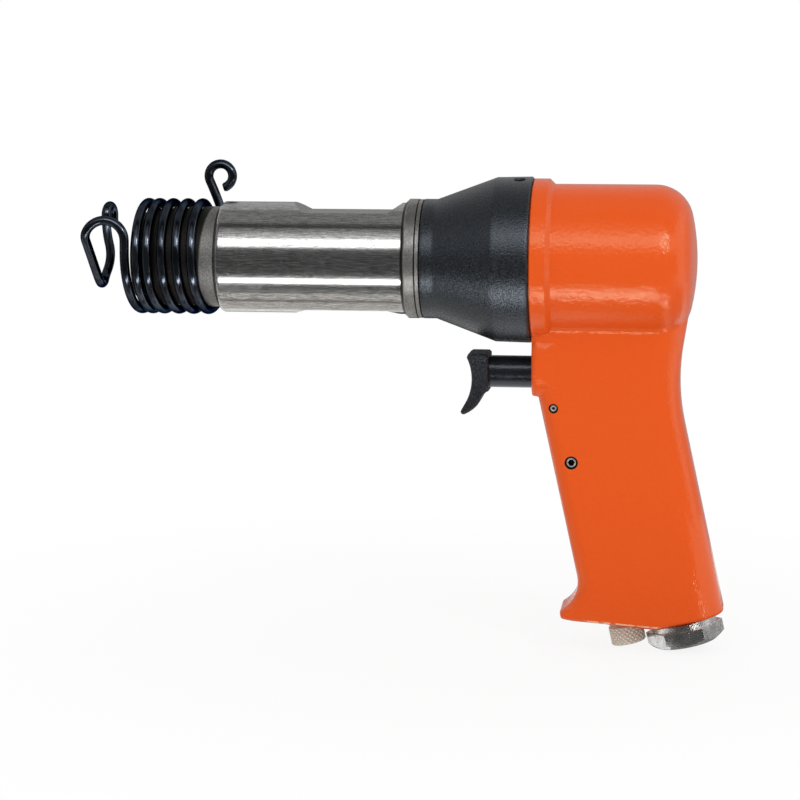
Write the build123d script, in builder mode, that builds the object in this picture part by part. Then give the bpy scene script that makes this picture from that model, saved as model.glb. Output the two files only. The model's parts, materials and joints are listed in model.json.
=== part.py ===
"""Pistol-grip air hammer, built as separate pieces, in millimetres.

The origin is the mouth of the tool socket on the barrel's axis. +X runs back along the
barrel, +Z is up, and the grip hangs below the rear of the barrel. Places in the grip are
given in its own leaning frame: "across" runs rearwards, "along" runs up the throttle bore.
"""
from build123d import *
from math import acos, atan2, ceil, cos, degrees, dist, pi, radians, sin, sqrt, tan
import os

os.makedirs("parts", exist_ok=True)

# Clearances
running = 0.05          # radial, between pieces that slide or turn
snug = 0.03             # radial, between pieces that are pressed or screwed in
touch_gap = 0.2         # between a lever's nose and what it pushes
wire_gap = 0.3          # between the spring's wire and its groove

# Barrel
barrel_radius = 21.5
barrel_corner = 1.9
nose_radius = 19.5
nose_length = 24.0
nose_chamfer = 1.0
socket_radius = 5.1
socket_length = 36.0
bore_radius = 10.0
pilot_length = 9.3      # hollow pilot ahead of the socket's mouth
pilot_radius = 18.3
pilot_tip_radius = 16.4
pilot_bore = 12.0
flat_top = 18.1         # wrench flats, from the axis
flat_bottom = 19.7
flat_start = 57.6
flat_length = 32.2
flat_run_out = 5.0
thread_radius = 22.5
thread_length = 24.0
port_radius = 2.5
port_count = 6
port_place = 120.0      # exhaust ports, from the nose face
return_radius = 1.6     # lengthwise air holes
return_circle = 15.0
return_count = 2
return_start = 42.0

# Ring train behind the barrel's flats
collar_start = 96.4
collar_width = 4.8
collar_radius = 23.05
collar_chamfer = 1.2
ring_step = 0.5         # narrow hubs that leave the dark grooves
ring_hub_radius = 22.4
washer_thickness = 1.3
washer_radius = 22.9
end_float = 0.05

# Exhaust deflector
deflector_front_radius = 23.05
deflector_front_length = 4.8
deflector_cone_length = 23.0
deflector_cone_radius = 31.6
deflector_rear_radius = 31.9
deflector_rear_length = 13.9
deflector_wall = 2.4
deflector_hub_length = 9.0
deflector_edge = 0.6
exhaust_hole_radius = 2.35
exhaust_hole_inset = 4.9    # from the rear edge
exhaust_hole_count = 5
exhaust_hole_step = 24.0    # degrees
exhaust_hole_lean = 12.0    # the first hole, degrees from the top to the near side

# Handle head
deflector_gap = 0.5
spigot_length = 2.8
band_length = 5.7
band_radius = 31.2
band_step = 2.0
head_radius = 29.2
head_length = 62.3
dome_radius = 14.5
dome_crown = 1.6
barrel_seat_depth = 26.2
pocket_radius = 20.0
chamber_radius = 16.0
chamber_length = 7.8

# Grip
grip_tilt = 12.5            # degrees
grip_height = 145.5         # barrel's axis down to the butt
throttle_place = 14.565     # throttle axis behind the handle's front face, at the stem's level
grip_front = 13.6           # throttle axis to the front face
grip_rear = 38.7            # throttle axis to the rear face
grip_half = 15.0
grip_front_corner = 6.0
grip_rear_corner = 11.0
grip_top_drop = 14.5        # top of the grip's solid, inside the head
web_start_drop = 68.6
web_radius = 80.0
web_angle = 21.5
web_top_drop = 12.5
web_depth = 30.0            # of the web's solid ahead of its rear face
neck_fillet = 4.0
lip_start = 28.0
lip_radius = 13.0
lip_angle = 76.0
lip_depth = 26.0
butt_corner = 12.56         # where the two butt faces meet, across
butt_face = 2.2             # along
butt_slope = 16.5           # degrees, of the front butt face
butt_fillet = 1.2
pad_height = 1.0
pad_half = 11.5
pad_rear = 35.6
pad_corner = 11.0
pad_depth = 12.0

# Trigger boss on the handle's front
boss_bottom = -51.2
boss_width = 4.2
boss_half = 16.4
boss_taper = 5.0            # run of its sides back into the grip
boss_top = -24.0
boss_edge = 2.5
boss_corner = 12.0          # of its lower corners, seen from the front
boss_ledge = 1.2
boss_foot_radius = 3.2      # where its underside meets the grip

# Trigger and stem
stem_height = -43.4
stem_radius = 6.2
stem_front = 128.8
stem_tail = 3.4             # behind the notch
stem_end_room = 0.5
stem_chamfer = 0.6
spigot_radius = 4.0
spigot_depth = 4.4
trigger_travel = 6.0
trigger_half = 8.0
trigger_edge = 1.0
# The trigger's outline, from the middle of the stem's front end
trigger_top = [(-8.5, 6.0), (-8.15, 7.0), (-7.2, 7.6), (-0.8, 7.6), (0.0, 6.8), (0.0, -6.9)]
trigger_back = [(0.0, -6.9), (-2.3, -9.0), (-3.8, -11.8), (-6.2, -14.3), (-9.3, -16.1)]
trigger_tip = [(-9.3, -16.1), (-10.45, -15.85), (-10.7, -14.7)]
trigger_hollow = [(-8.5, -10.8), (-6.6, -1.2), (-8.5, 6.0)]

# Throttle lever
lever_pin_across = -8.47
lever_pin_drop = 12.2       # below the stem's axis
lever_pin_radius = 1.5
lever_pin_bore = 0.6
lever_pin_recess = 1.0
lever_recess_radius = 1.75
lever_swing = 28.0          # degrees
lever_hub_radius = 3.2
lever_arm_half = 1.6
lever_nose_radius = 2.0
lever_half = 4.0
lever_room = 0.4
lever_side_room = 0.3
notch_flare = 1.6

# Throttle bore
bush_radius = 7.5
bore_top_drop = 2.46        # below the lever's pin
seat_drop = 31.96           # seat's lower end below the lever's pin
seat_length = 24.0
seat_radius = 4.5
seat_depth = 7.0
seat_port_radius = 3.2
seat_port_rise = 3.6        # above the seat's lower end
guide_radius = 2.0
ring_minor = 0.75
ring_room = 0.15           # beside a ring in its groove
seat_ring_rise = 16.0
guide_ring_rise = 20.0
seat_screw_across = -6.13
seat_screw_rise = 10.1
seat_screw_radius = 2.3
seat_screw_length = 6.0
seat_screw_recess = 0.8
seat_screw_socket = 2.4     # across flats
seat_screw_socket_depth = 2.2
seat_dog_radius = 1.5
seat_dog_length = 14.0
poppet_radius = 6.0
poppet_thickness = 3.5
poppet_boss_radius = 3.4
poppet_boss_length = 3.0
face_radius = 5.8
face_thickness = 1.45
spring_wire = 0.45
spring_radius = 4.5
spring_turns = 6
regulator_share = 0.6936    # of the way from the butt to the seat
regulator_bore = 4.0
regulator_cup_depth = 5.0
regulator_cup_radius = 5.3
regulator_port_drop = 11.0  # below the regulator's top
regulator_port_depth = 6.0
regulator_ring_along = 17.0
regulator_shoulder = 12.5
regulator_neck_radius = 5.6
knob_radius = 6.4
knob_top = 4.2
knob_bottom = -3.4
knob_edge = 0.5
clip_along = 11.9
clip_thickness = 1.0
clip_outer = 8.2
clip_gap_angle = 60.0

# Air inlet
inlet_across = 22.2
inlet_bore_radius = 6.5
inlet_bore_top = 38.0
inlet_thread_radius = 10.5
inlet_thread_length = 16.8
inlet_collar_radius = 12.75
inlet_collar_length = 2.4
inlet_hex_flats = 26.0
inlet_hex_length = 6.6
inlet_hex_chamfer = 1.3
inlet_hole_radius = 5.7
inlet_hole_chamfer = 0.8
inlet_hole_length = 14.0
inlet_throat_radius = 4.6
screen_flange_radius = 9.6
screen_wall = 0.8
screen_radius = 5.6
screen_length = 9.0
screen_hole_radius = 0.7
screen_hole_count = 8
screen_rows = 3
delivery_radius = 3.2
delivery_drop = 11.0        # the passage's upper end, below the barrel's axis
delivery_place = 0.75       # and its share of the chamber's length

# Piston and valve
piston_length = 45.0
piston_groove = 0.8
piston_groove_count = 3
piston_groove_step = 9.0
piston_chamfer = 1.0
piston_rest_gap = 0.5
valve_length = 12.0
valve_chamber_radius = 12.0
valve_chamber_depth = 7.0
valve_port_radius = 5.0
shuttle_length = 4.3
shuttle_hole = 3.0
shuttle_dish = 1.5
cap_length = 4.6
cap_hole_radius = 2.0
cap_hole_circle = 8.0
cap_hole_count = 6
cap_slot_width = 4.0
cap_slot_depth = 0.8
shuttle_rest_gap = 0.1
gasket_thickness = 0.6
dowel_radius = 1.5
dowel_circle = 17.4
dowel_depth = 4.0
dowel_lean = 50.0           # degrees from the top

# Retaining spring
wire_radius = 1.8
coil_stand = 1.3            # wire centre outside the nose
coil_rear_gap = 1.9         # between wire and barrel shoulder
coil_skew = 0.096           # lean of each turn, near side forward
rear_pitch = 5.8
front_pitch = 4.23
rear_quarters = 14
front_quarters = 8
eye_radius = 4.75
eye_height = 30.15
eye_back = 2.8              # eye's centre ahead of the last turn
eye_start = -76.0           # degrees
eye_end = 204.0
gate_rise = 7.5
gate_arc_radius = 7.7
gate_spread = 19.6          # half width of the gate's mouth
gate_radius = 11.0          # wire centre round the tool's shank
gate_forward = 1.8          # lean of the gate's foot
far_leg_bow = 0.20          # backward lean of the far leg's foot
far_leg_top = 14.1
far_leg_lean = 1.0          # far leg's top ahead of the near leg's
far_bend_radius = 3.7
far_bend_turn = 11.5        # degrees from straight out
far_end_length = 3.0


# Stations along the barrel's axis
collar_end = collar_start + collar_width
washer_start = collar_end + ring_step
washer_end = washer_start + washer_thickness
deflector_start = washer_end + end_float
cone_start = deflector_start + ring_step + deflector_front_length
cone_end = cone_start + deflector_cone_length
deflector_end = cone_end + deflector_rear_length
handle_front = deflector_end + deflector_gap
band_end = handle_front + band_length
head_rear = handle_front + head_length
dome_start = head_rear - dome_crown - dome_radius
barrel_end = handle_front + barrel_seat_depth
valve_end = barrel_end + valve_length
cap_end = valve_end + cap_length
gasket_end = cap_end + gasket_thickness
chamber_end = gasket_end + chamber_length
spigot_radius_outer = deflector_rear_radius - deflector_wall - running

# The grip's leaning frame
lean = radians(grip_tilt)
rearward = Vector(cos(lean), 0, sin(lean))
upward = Vector(-sin(lean), 0, cos(lean))
butt_level = -grip_height
butt_back = throttle_place + (stem_height - butt_level) * tan(lean)
butt = Vector(handle_front + butt_back, 0, butt_level)
grip_side = Plane(origin=butt, x_dir=rearward, z_dir=(0, -1, 0))
throttle_axis = Axis(butt, upward)
inlet_axis = Axis(butt + rearward * inlet_across, upward)


def grip_point(across, along):
    """Point of the middle plane at a place in the grip's leaning frame."""
    return butt + rearward * across + upward * along


def grip_level(along, across=0.0):
    """Plane square to the grip at a height along the throttle bore."""
    return Plane(origin=grip_point(across, along), x_dir=rearward, z_dir=upward)


def butt_line(across, height):
    """Height of the butt's faces at a place across the grip, raised by height."""
    slope = max(0.0, butt_corner - across) * tan(radians(butt_slope))
    return butt_face + height + slope


# Lever geometry, from its pin: the upper nose meets the stem, the lower one the valve
half_swing = radians(lever_swing / 2)
pin_height = stem_height - lever_pin_drop - butt_level
lever_pin_along = (pin_height - lever_pin_across * sin(lean)) / cos(lean)
pin_place = grip_point(lever_pin_across, lever_pin_along)
upper_arm = trigger_travel / (2 * sin(half_swing))
lower_arm = -lever_pin_across / cos(half_swing)
valve_travel = 2 * lower_arm * sin(half_swing)


def upper_nose(turn):
    """Centre of the lever's upper nose, with the lever turned from mid-swing."""
    return pin_place + Vector(upper_arm * sin(turn), 0, upper_arm * cos(turn))


def lower_nose(turn):
    """Centre of the lever's lower nose, with the lever turned from mid-swing."""
    return pin_place + rearward * (lower_arm * cos(turn)) - upward * (lower_arm * sin(turn))


nose_at_rest = upper_nose(-half_swing)
notch_front = nose_at_rest.X - lever_nose_radius - touch_gap
notch_rear = nose_at_rest.X + lever_nose_radius + touch_gap
notch_top = pin_place.Z + upper_arm + lever_nose_radius + 2 * touch_gap
stem_end = notch_rear + stem_tail
foot_at_rest = (lower_nose(-half_swing) - butt).dot(upward)
bore_top = lever_pin_along - bore_top_drop
seat_start = lever_pin_along - seat_drop
seat_port_along = seat_start + seat_port_rise
seat_ring_along = seat_start + seat_ring_rise
guide_ring_along = seat_start + guide_ring_rise
regulator_top = regulator_share * seat_start
regulator_port_along = regulator_top - regulator_port_drop
valve_tip = foot_at_rest - lever_nose_radius - touch_gap
valve_face_start = seat_start - end_float - face_thickness
poppet_bottom = valve_face_start - poppet_thickness
spring_seat = regulator_top - regulator_cup_depth
inlet_face = butt_face - pad_height
inlet_thread_top = inlet_face + inlet_thread_length
seat_place = grip_point(seat_screw_across, seat_start + seat_screw_rise)
seat_shoulder = grip_half - seat_screw_recess - seat_screw_length
seat_dog_end = seat_shoulder - seat_dog_length
dowel_turn = radians(dowel_lean)
dowel_places = [
    (dowel_circle * cos(dowel_turn), dowel_circle * sin(dowel_turn)),
    (dowel_circle * cos(dowel_turn), -dowel_circle * sin(dowel_turn)),
]

# Retaining spring's route: stations with their directions, from the tail's cut end forward
coil_radius = nose_radius + coil_stand
coil_rear = nose_length - coil_rear_gap - wire_radius


def coil_station(quarter):
    """Wire centre and direction after so many quarter turns from the rear of the coil."""
    rear_part = min(quarter, rear_quarters)
    front_part = quarter - rear_part
    x = coil_rear - rear_part * rear_pitch / 4 - front_part * front_pitch / 4
    pitch = rear_pitch if quarter < rear_quarters else front_pitch
    turn = radians(270 - 90 * quarter)
    y = -coil_radius * sin(turn)
    place = Vector(x + coil_skew * y, y, coil_radius * cos(turn))
    y_way = coil_radius * cos(turn)
    way = Vector(coil_skew * y_way - pitch / (2 * pi), y_way, coil_radius * sin(turn))
    return place, way.normalized()


def eye_station(angle):
    """Wire centre and direction on the tail's eye, at an angle in degrees."""
    turn = radians(angle)
    centre = Vector(coil_station(0)[0].X - eye_back, coil_radius, eye_height)
    place = centre + Vector(eye_radius * cos(turn), 0, eye_radius * sin(turn))
    return place, Vector(-sin(turn), 0, cos(turn))


eye_angles = [eye_start, eye_start / 2, 0.0, 90.0, 180.0, eye_end]
tail_stations = [eye_station(angle) for angle in eye_angles]
coil_quarters = rear_quarters + front_quarters
coil_stations = [coil_station(quarter) for quarter in range(coil_quarters + 1)]

gate_back = coil_stations[-1][0].X
gate_front = gate_back - 2 * gate_arc_radius
gate_foot = gate_front + gate_forward
mouth_reach = sqrt(gate_spread ** 2 + gate_rise ** 2)
mouth_turn = atan2(gate_rise, -gate_spread) + acos(gate_radius / mouth_reach)
foot_y = gate_radius * cos(mouth_turn)
foot_z = gate_radius * sin(mouth_turn)
far_way = radians(far_bend_turn)
far_out = Vector(sin(far_way), cos(far_way), 0)
leg_down = Vector(gate_forward, foot_y + gate_spread, foot_z - gate_rise).normalized()
leg_up = Vector(far_leg_bow, leg_down.Y, -leg_down.Z).normalized()
far_top = Vector(gate_front - far_leg_lean, gate_spread, far_leg_top)
far_crest = far_top + (far_out + Vector(0, 0, 1)) * far_bend_radius
far_return = far_top + far_out * (2 * far_bend_radius)
gate_stations = [
    (Vector(gate_back, -coil_radius, gate_rise), Vector(0, 0, 1)),
    (Vector(gate_back - gate_arc_radius, -coil_radius, gate_rise + gate_arc_radius), Vector(-1, 0, 0)),
    (Vector(gate_front, -gate_spread, gate_rise), leg_down),
    (Vector(gate_foot, foot_y, foot_z), leg_down),
    (Vector(gate_foot, 0, -gate_radius), Vector(0, 1, 0)),
    (Vector(gate_foot, -foot_y, foot_z), leg_up),
    (far_top, Vector(0, 0, 1)),
    (far_crest, far_out),
    (far_return, Vector(0, 0, -1)),
    (far_return - Vector(0, 0, far_end_length), Vector(0, 0, -1)),
]
spring_stations = tail_stations + coil_stations + gate_stations
nose_stations = [tail_stations[-1]] + [s for s in coil_stations if s[0].X > -2 * wire_radius]


def biarc(first, second):
    """Station where two arcs meet that join one station to the next, both ways kept."""
    start, start_way = first
    end, end_way = second
    span = end - start
    both = start_way + end_way
    spread = 2 * (1 - start_way.dot(end_way))
    along = span.dot(both)
    if spread < 1e-9:
        reach = span.dot(span) / (4 * span.dot(end_way))
    else:
        reach = (sqrt(along ** 2 + spread * span.dot(span)) - along) / spread
    near = start + start_way * reach
    far = end - end_way * reach
    return (near + far) * 0.5, (far - near).normalized()


def straight(first, second):
    """Whether a station's direction leads straight to the next station."""
    span = (second[0] - first[0]).normalized()
    return span.dot(first[1]) > 1 - 1e-9 and span.dot(second[1]) > 1 - 1e-9


def draw_route(stations):
    """Add the lines and tangent arcs through the stations to the current line."""
    for first, second in zip(stations, stations[1:]):
        if straight(first, second):
            Line(first[0], second[0])
        else:
            middle = biarc(first, second)
            TangentArc(first[0], middle[0], tangent=first[1])
            TangentArc(middle[0], second[0], tangent=middle[1])


def route_gap(route, thickness, step):
    """Least gap between stretches of a wire that are not neighbours along it."""
    count = ceil(route.length / step)
    points = [tuple(route.position_at(i / count)) for i in range(count + 1)]
    apart = ceil(2 * pi * thickness / step)
    gaps = []
    for i, here in enumerate(points):
        gaps += [dist(here, there) for there in points[i + apart:]]
    return min(gaps) - thickness


def across_of(edge):
    """Place of an edge's middle across the grip."""
    return (edge.center() - butt).dot(rearward)


def on_butt(edge):
    """Height of an edge's middle above the butt's faces."""
    return (edge.center() - butt).dot(upward) - butt_line(across_of(edge), 0)


def valve_spring_station(quarter):
    """Wire centre and direction after so many quarter turns up the throttle spring."""
    first = spring_seat + spring_wire
    rise = (poppet_bottom - spring_wire - first) / (4 * spring_turns)
    turn = radians(90 * quarter)
    place = grip_point(spring_radius * cos(turn), first + rise * quarter)
    place += Vector(0, spring_radius * sin(turn), 0)
    way = Vector(0, cos(turn), 0) - rearward * sin(turn) + upward * (2 * rise / (pi * spring_radius))
    return place, way.normalized()


def from_stem(offsets):
    """Points of the middle plane at offsets from the middle of the stem's front end."""
    return [(stem_front + across, stem_height + rise) for across, rise in offsets]


def rear_plane(x):
    """Plane square to the barrel, facing back, with its first direction upwards."""
    return Plane(origin=(x, 0, 0), x_dir=(0, 0, 1), z_dir=(1, 0, 0))


def save(piece, name):
    """Label one piece, write its file and print its size."""
    piece.part.label = name
    export_step(piece.part, "parts/" + name + ".step")
    print(name, len(piece.part.solids()), piece.part.is_valid, round(piece.part.volume, 1))


# Grip web: the curved rear of the grip, under the web of the hand
web_start = grip_height - web_start_drop
web_top = grip_height - web_top_drop
with BuildPart() as web:
    with BuildSketch(grip_side):
        with BuildLine():
            Line((grip_rear - web_depth, web_start), (grip_rear, web_start))
            rear_arc = CenterArc((grip_rear + web_radius, web_start), web_radius, 180, -web_angle)
            web_rise = web_top - (rear_arc @ 1).Y
            web_end = (rear_arc @ 1) + Vector(web_rise * tan(radians(web_angle)), web_rise)
            Polyline(
                rear_arc @ 1,
                web_end,
                (grip_rear - web_depth, web_top),
                (grip_rear - web_depth, web_start),
            )
        make_face()
    extrude(amount=grip_half, both=True)
    web_edges = web.edges().filter_by(
        lambda edge: (edge.center() - butt).dot(rearward) > grip_rear
        and abs(edge.center().Y) > grip_half - snug
    )
    fillet(web_edges, grip_rear_corner)

# Butt pad: the low boss round the regulator and the inlet
with BuildPart() as pad:
    with BuildSketch(grip_side):
        Polygon(
            (-pad_half, butt_line(-pad_half, -pad_height)),
            (butt_corner, butt_line(butt_corner, -pad_height)),
            (pad_rear, butt_line(pad_rear, -pad_height)),
            (pad_rear, pad_depth),
            (-pad_half, pad_depth),
            align=None,
        )
    extrude(amount=pad_half, both=True)
    fillet(pad.edges().filter_by(throttle_axis), pad_corner)

# Trigger boss, a flange that carries the head's band down to the stem
with BuildPart() as boss:
    boss_rear = handle_front + boss_width + boss_taper
    boss_foot = boss_bottom - boss_foot_radius
    with BuildSketch(Plane.XZ):
        with BuildLine():
            under_arc = CenterArc((handle_front + boss_ledge, boss_foot), boss_foot_radius, 90, -90)
            Polyline(
                under_arc @ 1,
                (boss_rear, boss_foot),
                (boss_rear, boss_top),
                (handle_front, boss_top),
                (handle_front, boss_bottom),
                under_arc @ 0,
            )
        make_face()
    extrude(amount=boss_half, both=True)
    with BuildSketch(rear_plane(handle_front)) as boss_front:
        with Locations(((boss_top + boss_foot) / 2, 0)):
            Rectangle(boss_top - boss_foot, 2 * boss_half)
        fillet(boss_front.vertices().group_by(Axis.Z)[0], boss_corner)
    extrude(amount=boss_rear - handle_front, mode=Mode.INTERSECT)
    with BuildSketch(Plane.XY):
        Polygon(
            (handle_front, -boss_half),
            (handle_front + boss_width, -boss_half),
            (boss_rear, -grip_half),
            (boss_rear, grip_half),
            (handle_front + boss_width, boss_half),
            (handle_front, boss_half),
            align=None,
        )
    extrude(amount=butt_level, mode=Mode.INTERSECT)

with BuildPart() as handle:
    # Grip, square section with rounded corners
    with BuildSketch(grip_level(0)) as grip_plan:
        with Locations(((grip_rear - grip_front) / 2, 0)):
            Rectangle(grip_rear + grip_front, 2 * grip_half)
        fillet(grip_plan.vertices().group_by(Axis.X)[0], grip_front_corner)
        fillet(grip_plan.vertices().group_by(Axis.X)[-1], grip_rear_corner)
    extrude(amount=grip_height - grip_top_drop)
    # Flared lip at the butt, the front of the section turned about a cross line
    lip_line = Axis(grip_point(-grip_front - lip_radius, lip_start), (0, 1, 0))
    with BuildSketch(grip_level(lip_start)) as lip_plan:
        with Locations((lip_depth / 2 - grip_front, 0)):
            Rectangle(lip_depth, 2 * grip_half)
        fillet(lip_plan.vertices().group_by(Axis.X)[0], grip_front_corner)
    revolve(axis=lip_line, revolution_arc=lip_angle)
    # Butt faces
    with BuildSketch(grip_side):
        Polygon(
            (-3 * grip_front, butt_line(-3 * grip_front, 0)),
            (butt_corner, butt_line(butt_corner, 0)),
            (2 * grip_rear, butt_line(2 * grip_rear, 0)),
            (2 * grip_rear, -grip_rear),
            (-3 * grip_front, -grip_rear),
            align=None,
        )
    extrude(amount=2 * grip_half, both=True, mode=Mode.SUBTRACT)
    lip_face = handle.faces().filter_by(GeomType.PLANE).sort_by(Axis(butt, rearward))[0]
    lip_edges = lip_face.edges().filter_by(lambda edge: on_butt(edge) > snug)
    butt_edges = handle.edges().filter_by(
        lambda edge: abs(on_butt(edge)) < snug and abs(across_of(edge) - butt_corner) > snug
    )
    fillet(butt_edges + lip_edges, butt_fillet)
    add(pad)
    add(web)
    add(boss)
    with BuildSketch(Plane.XZ):
        Polygon(
            (handle_front, 0),
            (handle_front, butt_level),
            (handle_front - grip_rear, butt_level),
            (handle_front - grip_rear, 0),
            align=None,
        )
    extrude(amount=2 * grip_half, both=True, mode=Mode.SUBTRACT)
    boss_edges = handle.edges().filter_by(Axis.Z).filter_by(
        lambda edge: abs(edge.center().X - handle_front) < snug
    )
    fillet(boss_edges, boss_edge)
    # Head, with its spigot, band and crowned rear
    with BuildSketch(Plane.XZ):
        with BuildLine():
            dome_centre = head_radius - dome_radius
            head_run = head_rear - dome_start
            crown_radius = (head_run ** 2 + dome_centre ** 2 - dome_radius ** 2) / (2 * dome_crown)
            crown_turn = degrees(atan2(dome_centre, crown_radius - head_run))
            Polyline(
                (head_rear, 0),
                (handle_front - spigot_length, 0),
                (handle_front - spigot_length, spigot_radius_outer),
                (handle_front, spigot_radius_outer),
                (handle_front, band_radius),
                (band_end, band_radius),
                (band_end + band_step, head_radius),
                (dome_start, head_radius),
            )
            CenterArc((dome_start, dome_centre), dome_radius, 90, crown_turn - 90)
            CenterArc((head_rear - crown_radius, 0), crown_radius, crown_turn, -crown_turn)
        make_face()
    revolve(axis=Axis.X)
    neck_edges = handle.edges().filter_by(Axis.X).filter_by(
        lambda edge: edge.length > head_radius and abs(abs(edge.center().Y) - grip_half) < snug
        and edge.center().Z > boss_bottom
    )
    fillet(neck_edges, neck_fillet)
    # Bore for the barrel's thread, the valve train and the air chamber behind it
    with BuildSketch(Plane.XZ):
        Polygon(
            (handle_front - 2 * spigot_length, 0),
            (handle_front - 2 * spigot_length, thread_radius + snug),
            (barrel_end, thread_radius + snug),
            (barrel_end, pocket_radius),
            (gasket_end, pocket_radius),
            (gasket_end, chamber_radius),
            (chamber_end, chamber_radius),
            (chamber_end, 0),
            align=None,
        )
    revolve(axis=Axis.X, mode=Mode.SUBTRACT)
    # Throttle bore with the clip's groove
    with BuildSketch(grip_side):
        Polygon(
            (0, 2 * knob_bottom),
            (bush_radius + running, 2 * knob_bottom),
            (bush_radius + running, clip_along - clip_thickness / 2 - snug),
            (clip_outer + snug, clip_along - clip_thickness / 2 - snug),
            (clip_outer + snug, clip_along + clip_thickness / 2 + snug),
            (bush_radius + running, clip_along + clip_thickness / 2 + snug),
            (bush_radius + running, bore_top),
            (0, bore_top),
            align=None,
        )
    revolve(axis=throttle_axis, mode=Mode.SUBTRACT)
    # Inlet bore with its thread
    with BuildSketch(grip_side):
        Polygon(
            (inlet_across, 2 * knob_bottom),
            (inlet_across + inlet_thread_radius + snug, 2 * knob_bottom),
            (inlet_across + inlet_thread_radius + snug, inlet_thread_top + screen_wall),
            (inlet_across + inlet_bore_radius, inlet_thread_top + screen_wall),
            (inlet_across + inlet_bore_radius, inlet_bore_top),
            (inlet_across, inlet_bore_top),
            align=None,
        )
    revolve(axis=inlet_axis, mode=Mode.SUBTRACT)
    # Air passages: inlet to regulator, throttle seat to head
    with BuildSketch(Plane(origin=grip_point(0, regulator_port_along), z_dir=rearward)):
        Circle(regulator_bore)
    extrude(amount=inlet_across, mode=Mode.SUBTRACT)
    passage_start = grip_point(seat_radius, seat_port_along)
    passage_end = Vector(gasket_end + delivery_place * chamber_length, 0, -delivery_drop)
    passage_way = passage_end - passage_start
    with BuildSketch(Plane(origin=passage_start, z_dir=passage_way)):
        Circle(delivery_radius)
    extrude(amount=passage_way.length, mode=Mode.SUBTRACT)
    # Trigger stem's bore and the lever's chamber
    with BuildSketch(Plane(origin=(handle_front - boss_width, 0, stem_height), z_dir=(1, 0, 0))):
        Circle(stem_radius + running)
    stem_bore_length = stem_end + trigger_travel + stem_end_room - handle_front + boss_width
    extrude(amount=stem_bore_length, mode=Mode.SUBTRACT)
    for nose in (upper_nose, lower_nose):
        with BuildSketch(Plane.XZ):
            with Locations((pin_place.X, pin_place.Z)):
                Circle(lever_hub_radius + lever_room)
            for turn in (-half_swing, half_swing):
                with Locations((nose(turn).X, nose(turn).Z)):
                    Circle(lever_nose_radius + lever_room)
            make_hull()
        extrude(amount=lever_half + lever_side_room, both=True, mode=Mode.SUBTRACT)
    # Holes for the lever's pin and the seat's screw
    with BuildSketch(Plane.XZ):
        with Locations((pin_place.X, pin_place.Z)):
            Circle(lever_pin_radius + snug)
    extrude(amount=2 * grip_half, both=True, mode=Mode.SUBTRACT)
    for side in (1, -1):
        with BuildSketch(Plane.XZ.offset(side * (grip_half - lever_pin_recess))):
            with Locations((pin_place.X, pin_place.Z)):
                Circle(lever_recess_radius)
        extrude(amount=side * grip_half, mode=Mode.SUBTRACT)
    with BuildSketch(Plane.XZ.offset(seat_shoulder)):
        with Locations((seat_place.X, seat_place.Z)):
            Circle(seat_screw_radius + snug)
    extrude(amount=grip_half, mode=Mode.SUBTRACT)
    with BuildSketch(Plane.XZ.offset(seat_dog_end - touch_gap)):
        with Locations((seat_place.X, seat_place.Z)):
            Circle(seat_dog_radius + snug)
    extrude(amount=seat_dog_length + 2 * touch_gap, mode=Mode.SUBTRACT)
save(handle, "handle")

# Barrel
with BuildPart() as barrel:
    with BuildSketch(Plane.XZ):
        Polygon(
            (0, socket_radius),
            (0, pilot_bore),
            (-pilot_length, pilot_bore),
            (-pilot_length, pilot_tip_radius),
            (0, pilot_radius),
            (0, nose_radius - nose_chamfer),
            (nose_chamfer, nose_radius),
            (nose_length, nose_radius),
            (nose_length, barrel_radius),
            (barrel_end - thread_length, barrel_radius),
            (barrel_end - thread_length, thread_radius),
            (barrel_end, thread_radius),
            (barrel_end, bore_radius),
            (socket_length, bore_radius),
            (socket_length, socket_radius),
            align=None,
        )
    revolve(axis=Axis.X)
    shoulder = barrel.edges().filter_by(GeomType.CIRCLE).filter_by(
        lambda edge: abs(edge.center(CenterOf.BOUNDING_BOX).X - nose_length) < snug
        and abs(edge.radius - barrel_radius) < snug
    )
    fillet(shoulder, barrel_corner)
    # Wrench flats with sloped run-outs, above and below
    with BuildSketch(Plane.XZ):
        for outside, flat in ((barrel_radius, flat_top), (-barrel_radius, -flat_bottom)):
            Polygon(
                (flat_start - flat_run_out, outside),
                (flat_start, flat),
                (flat_start + flat_length, flat),
                (flat_start + flat_length + flat_run_out, outside),
                align=None,
            )
    extrude(amount=barrel_radius, both=True, mode=Mode.SUBTRACT)
    # Exhaust ports
    for port in range(port_count):
        turn = 2 * pi * port / port_count
        with BuildSketch(Plane(origin=(port_place, 0, 0), z_dir=(0, sin(turn), cos(turn)))):
            Circle(port_radius)
        extrude(amount=2 * barrel_radius, mode=Mode.SUBTRACT)
    # Lengthwise air holes and the dowels' holes, from the rear face
    with BuildSketch(rear_plane(barrel_end)):
        with PolarLocations(return_circle, return_count):
            Circle(return_radius)
    extrude(amount=return_start - barrel_end, mode=Mode.SUBTRACT)
    with BuildSketch(rear_plane(barrel_end)):
        with Locations(*dowel_places):
            Circle(dowel_radius + snug)
    extrude(amount=-dowel_depth - touch_gap, mode=Mode.SUBTRACT)
    # Groove that the retaining spring screws on
    with BuildLine() as groove_line:
        draw_route(nose_stations)
    with BuildSketch(groove_line.wire() ^ 0):
        Circle(wire_radius + wire_gap)
    sweep(path=groove_line.wire(), mode=Mode.SUBTRACT)
save(barrel, "barrel")

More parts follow.
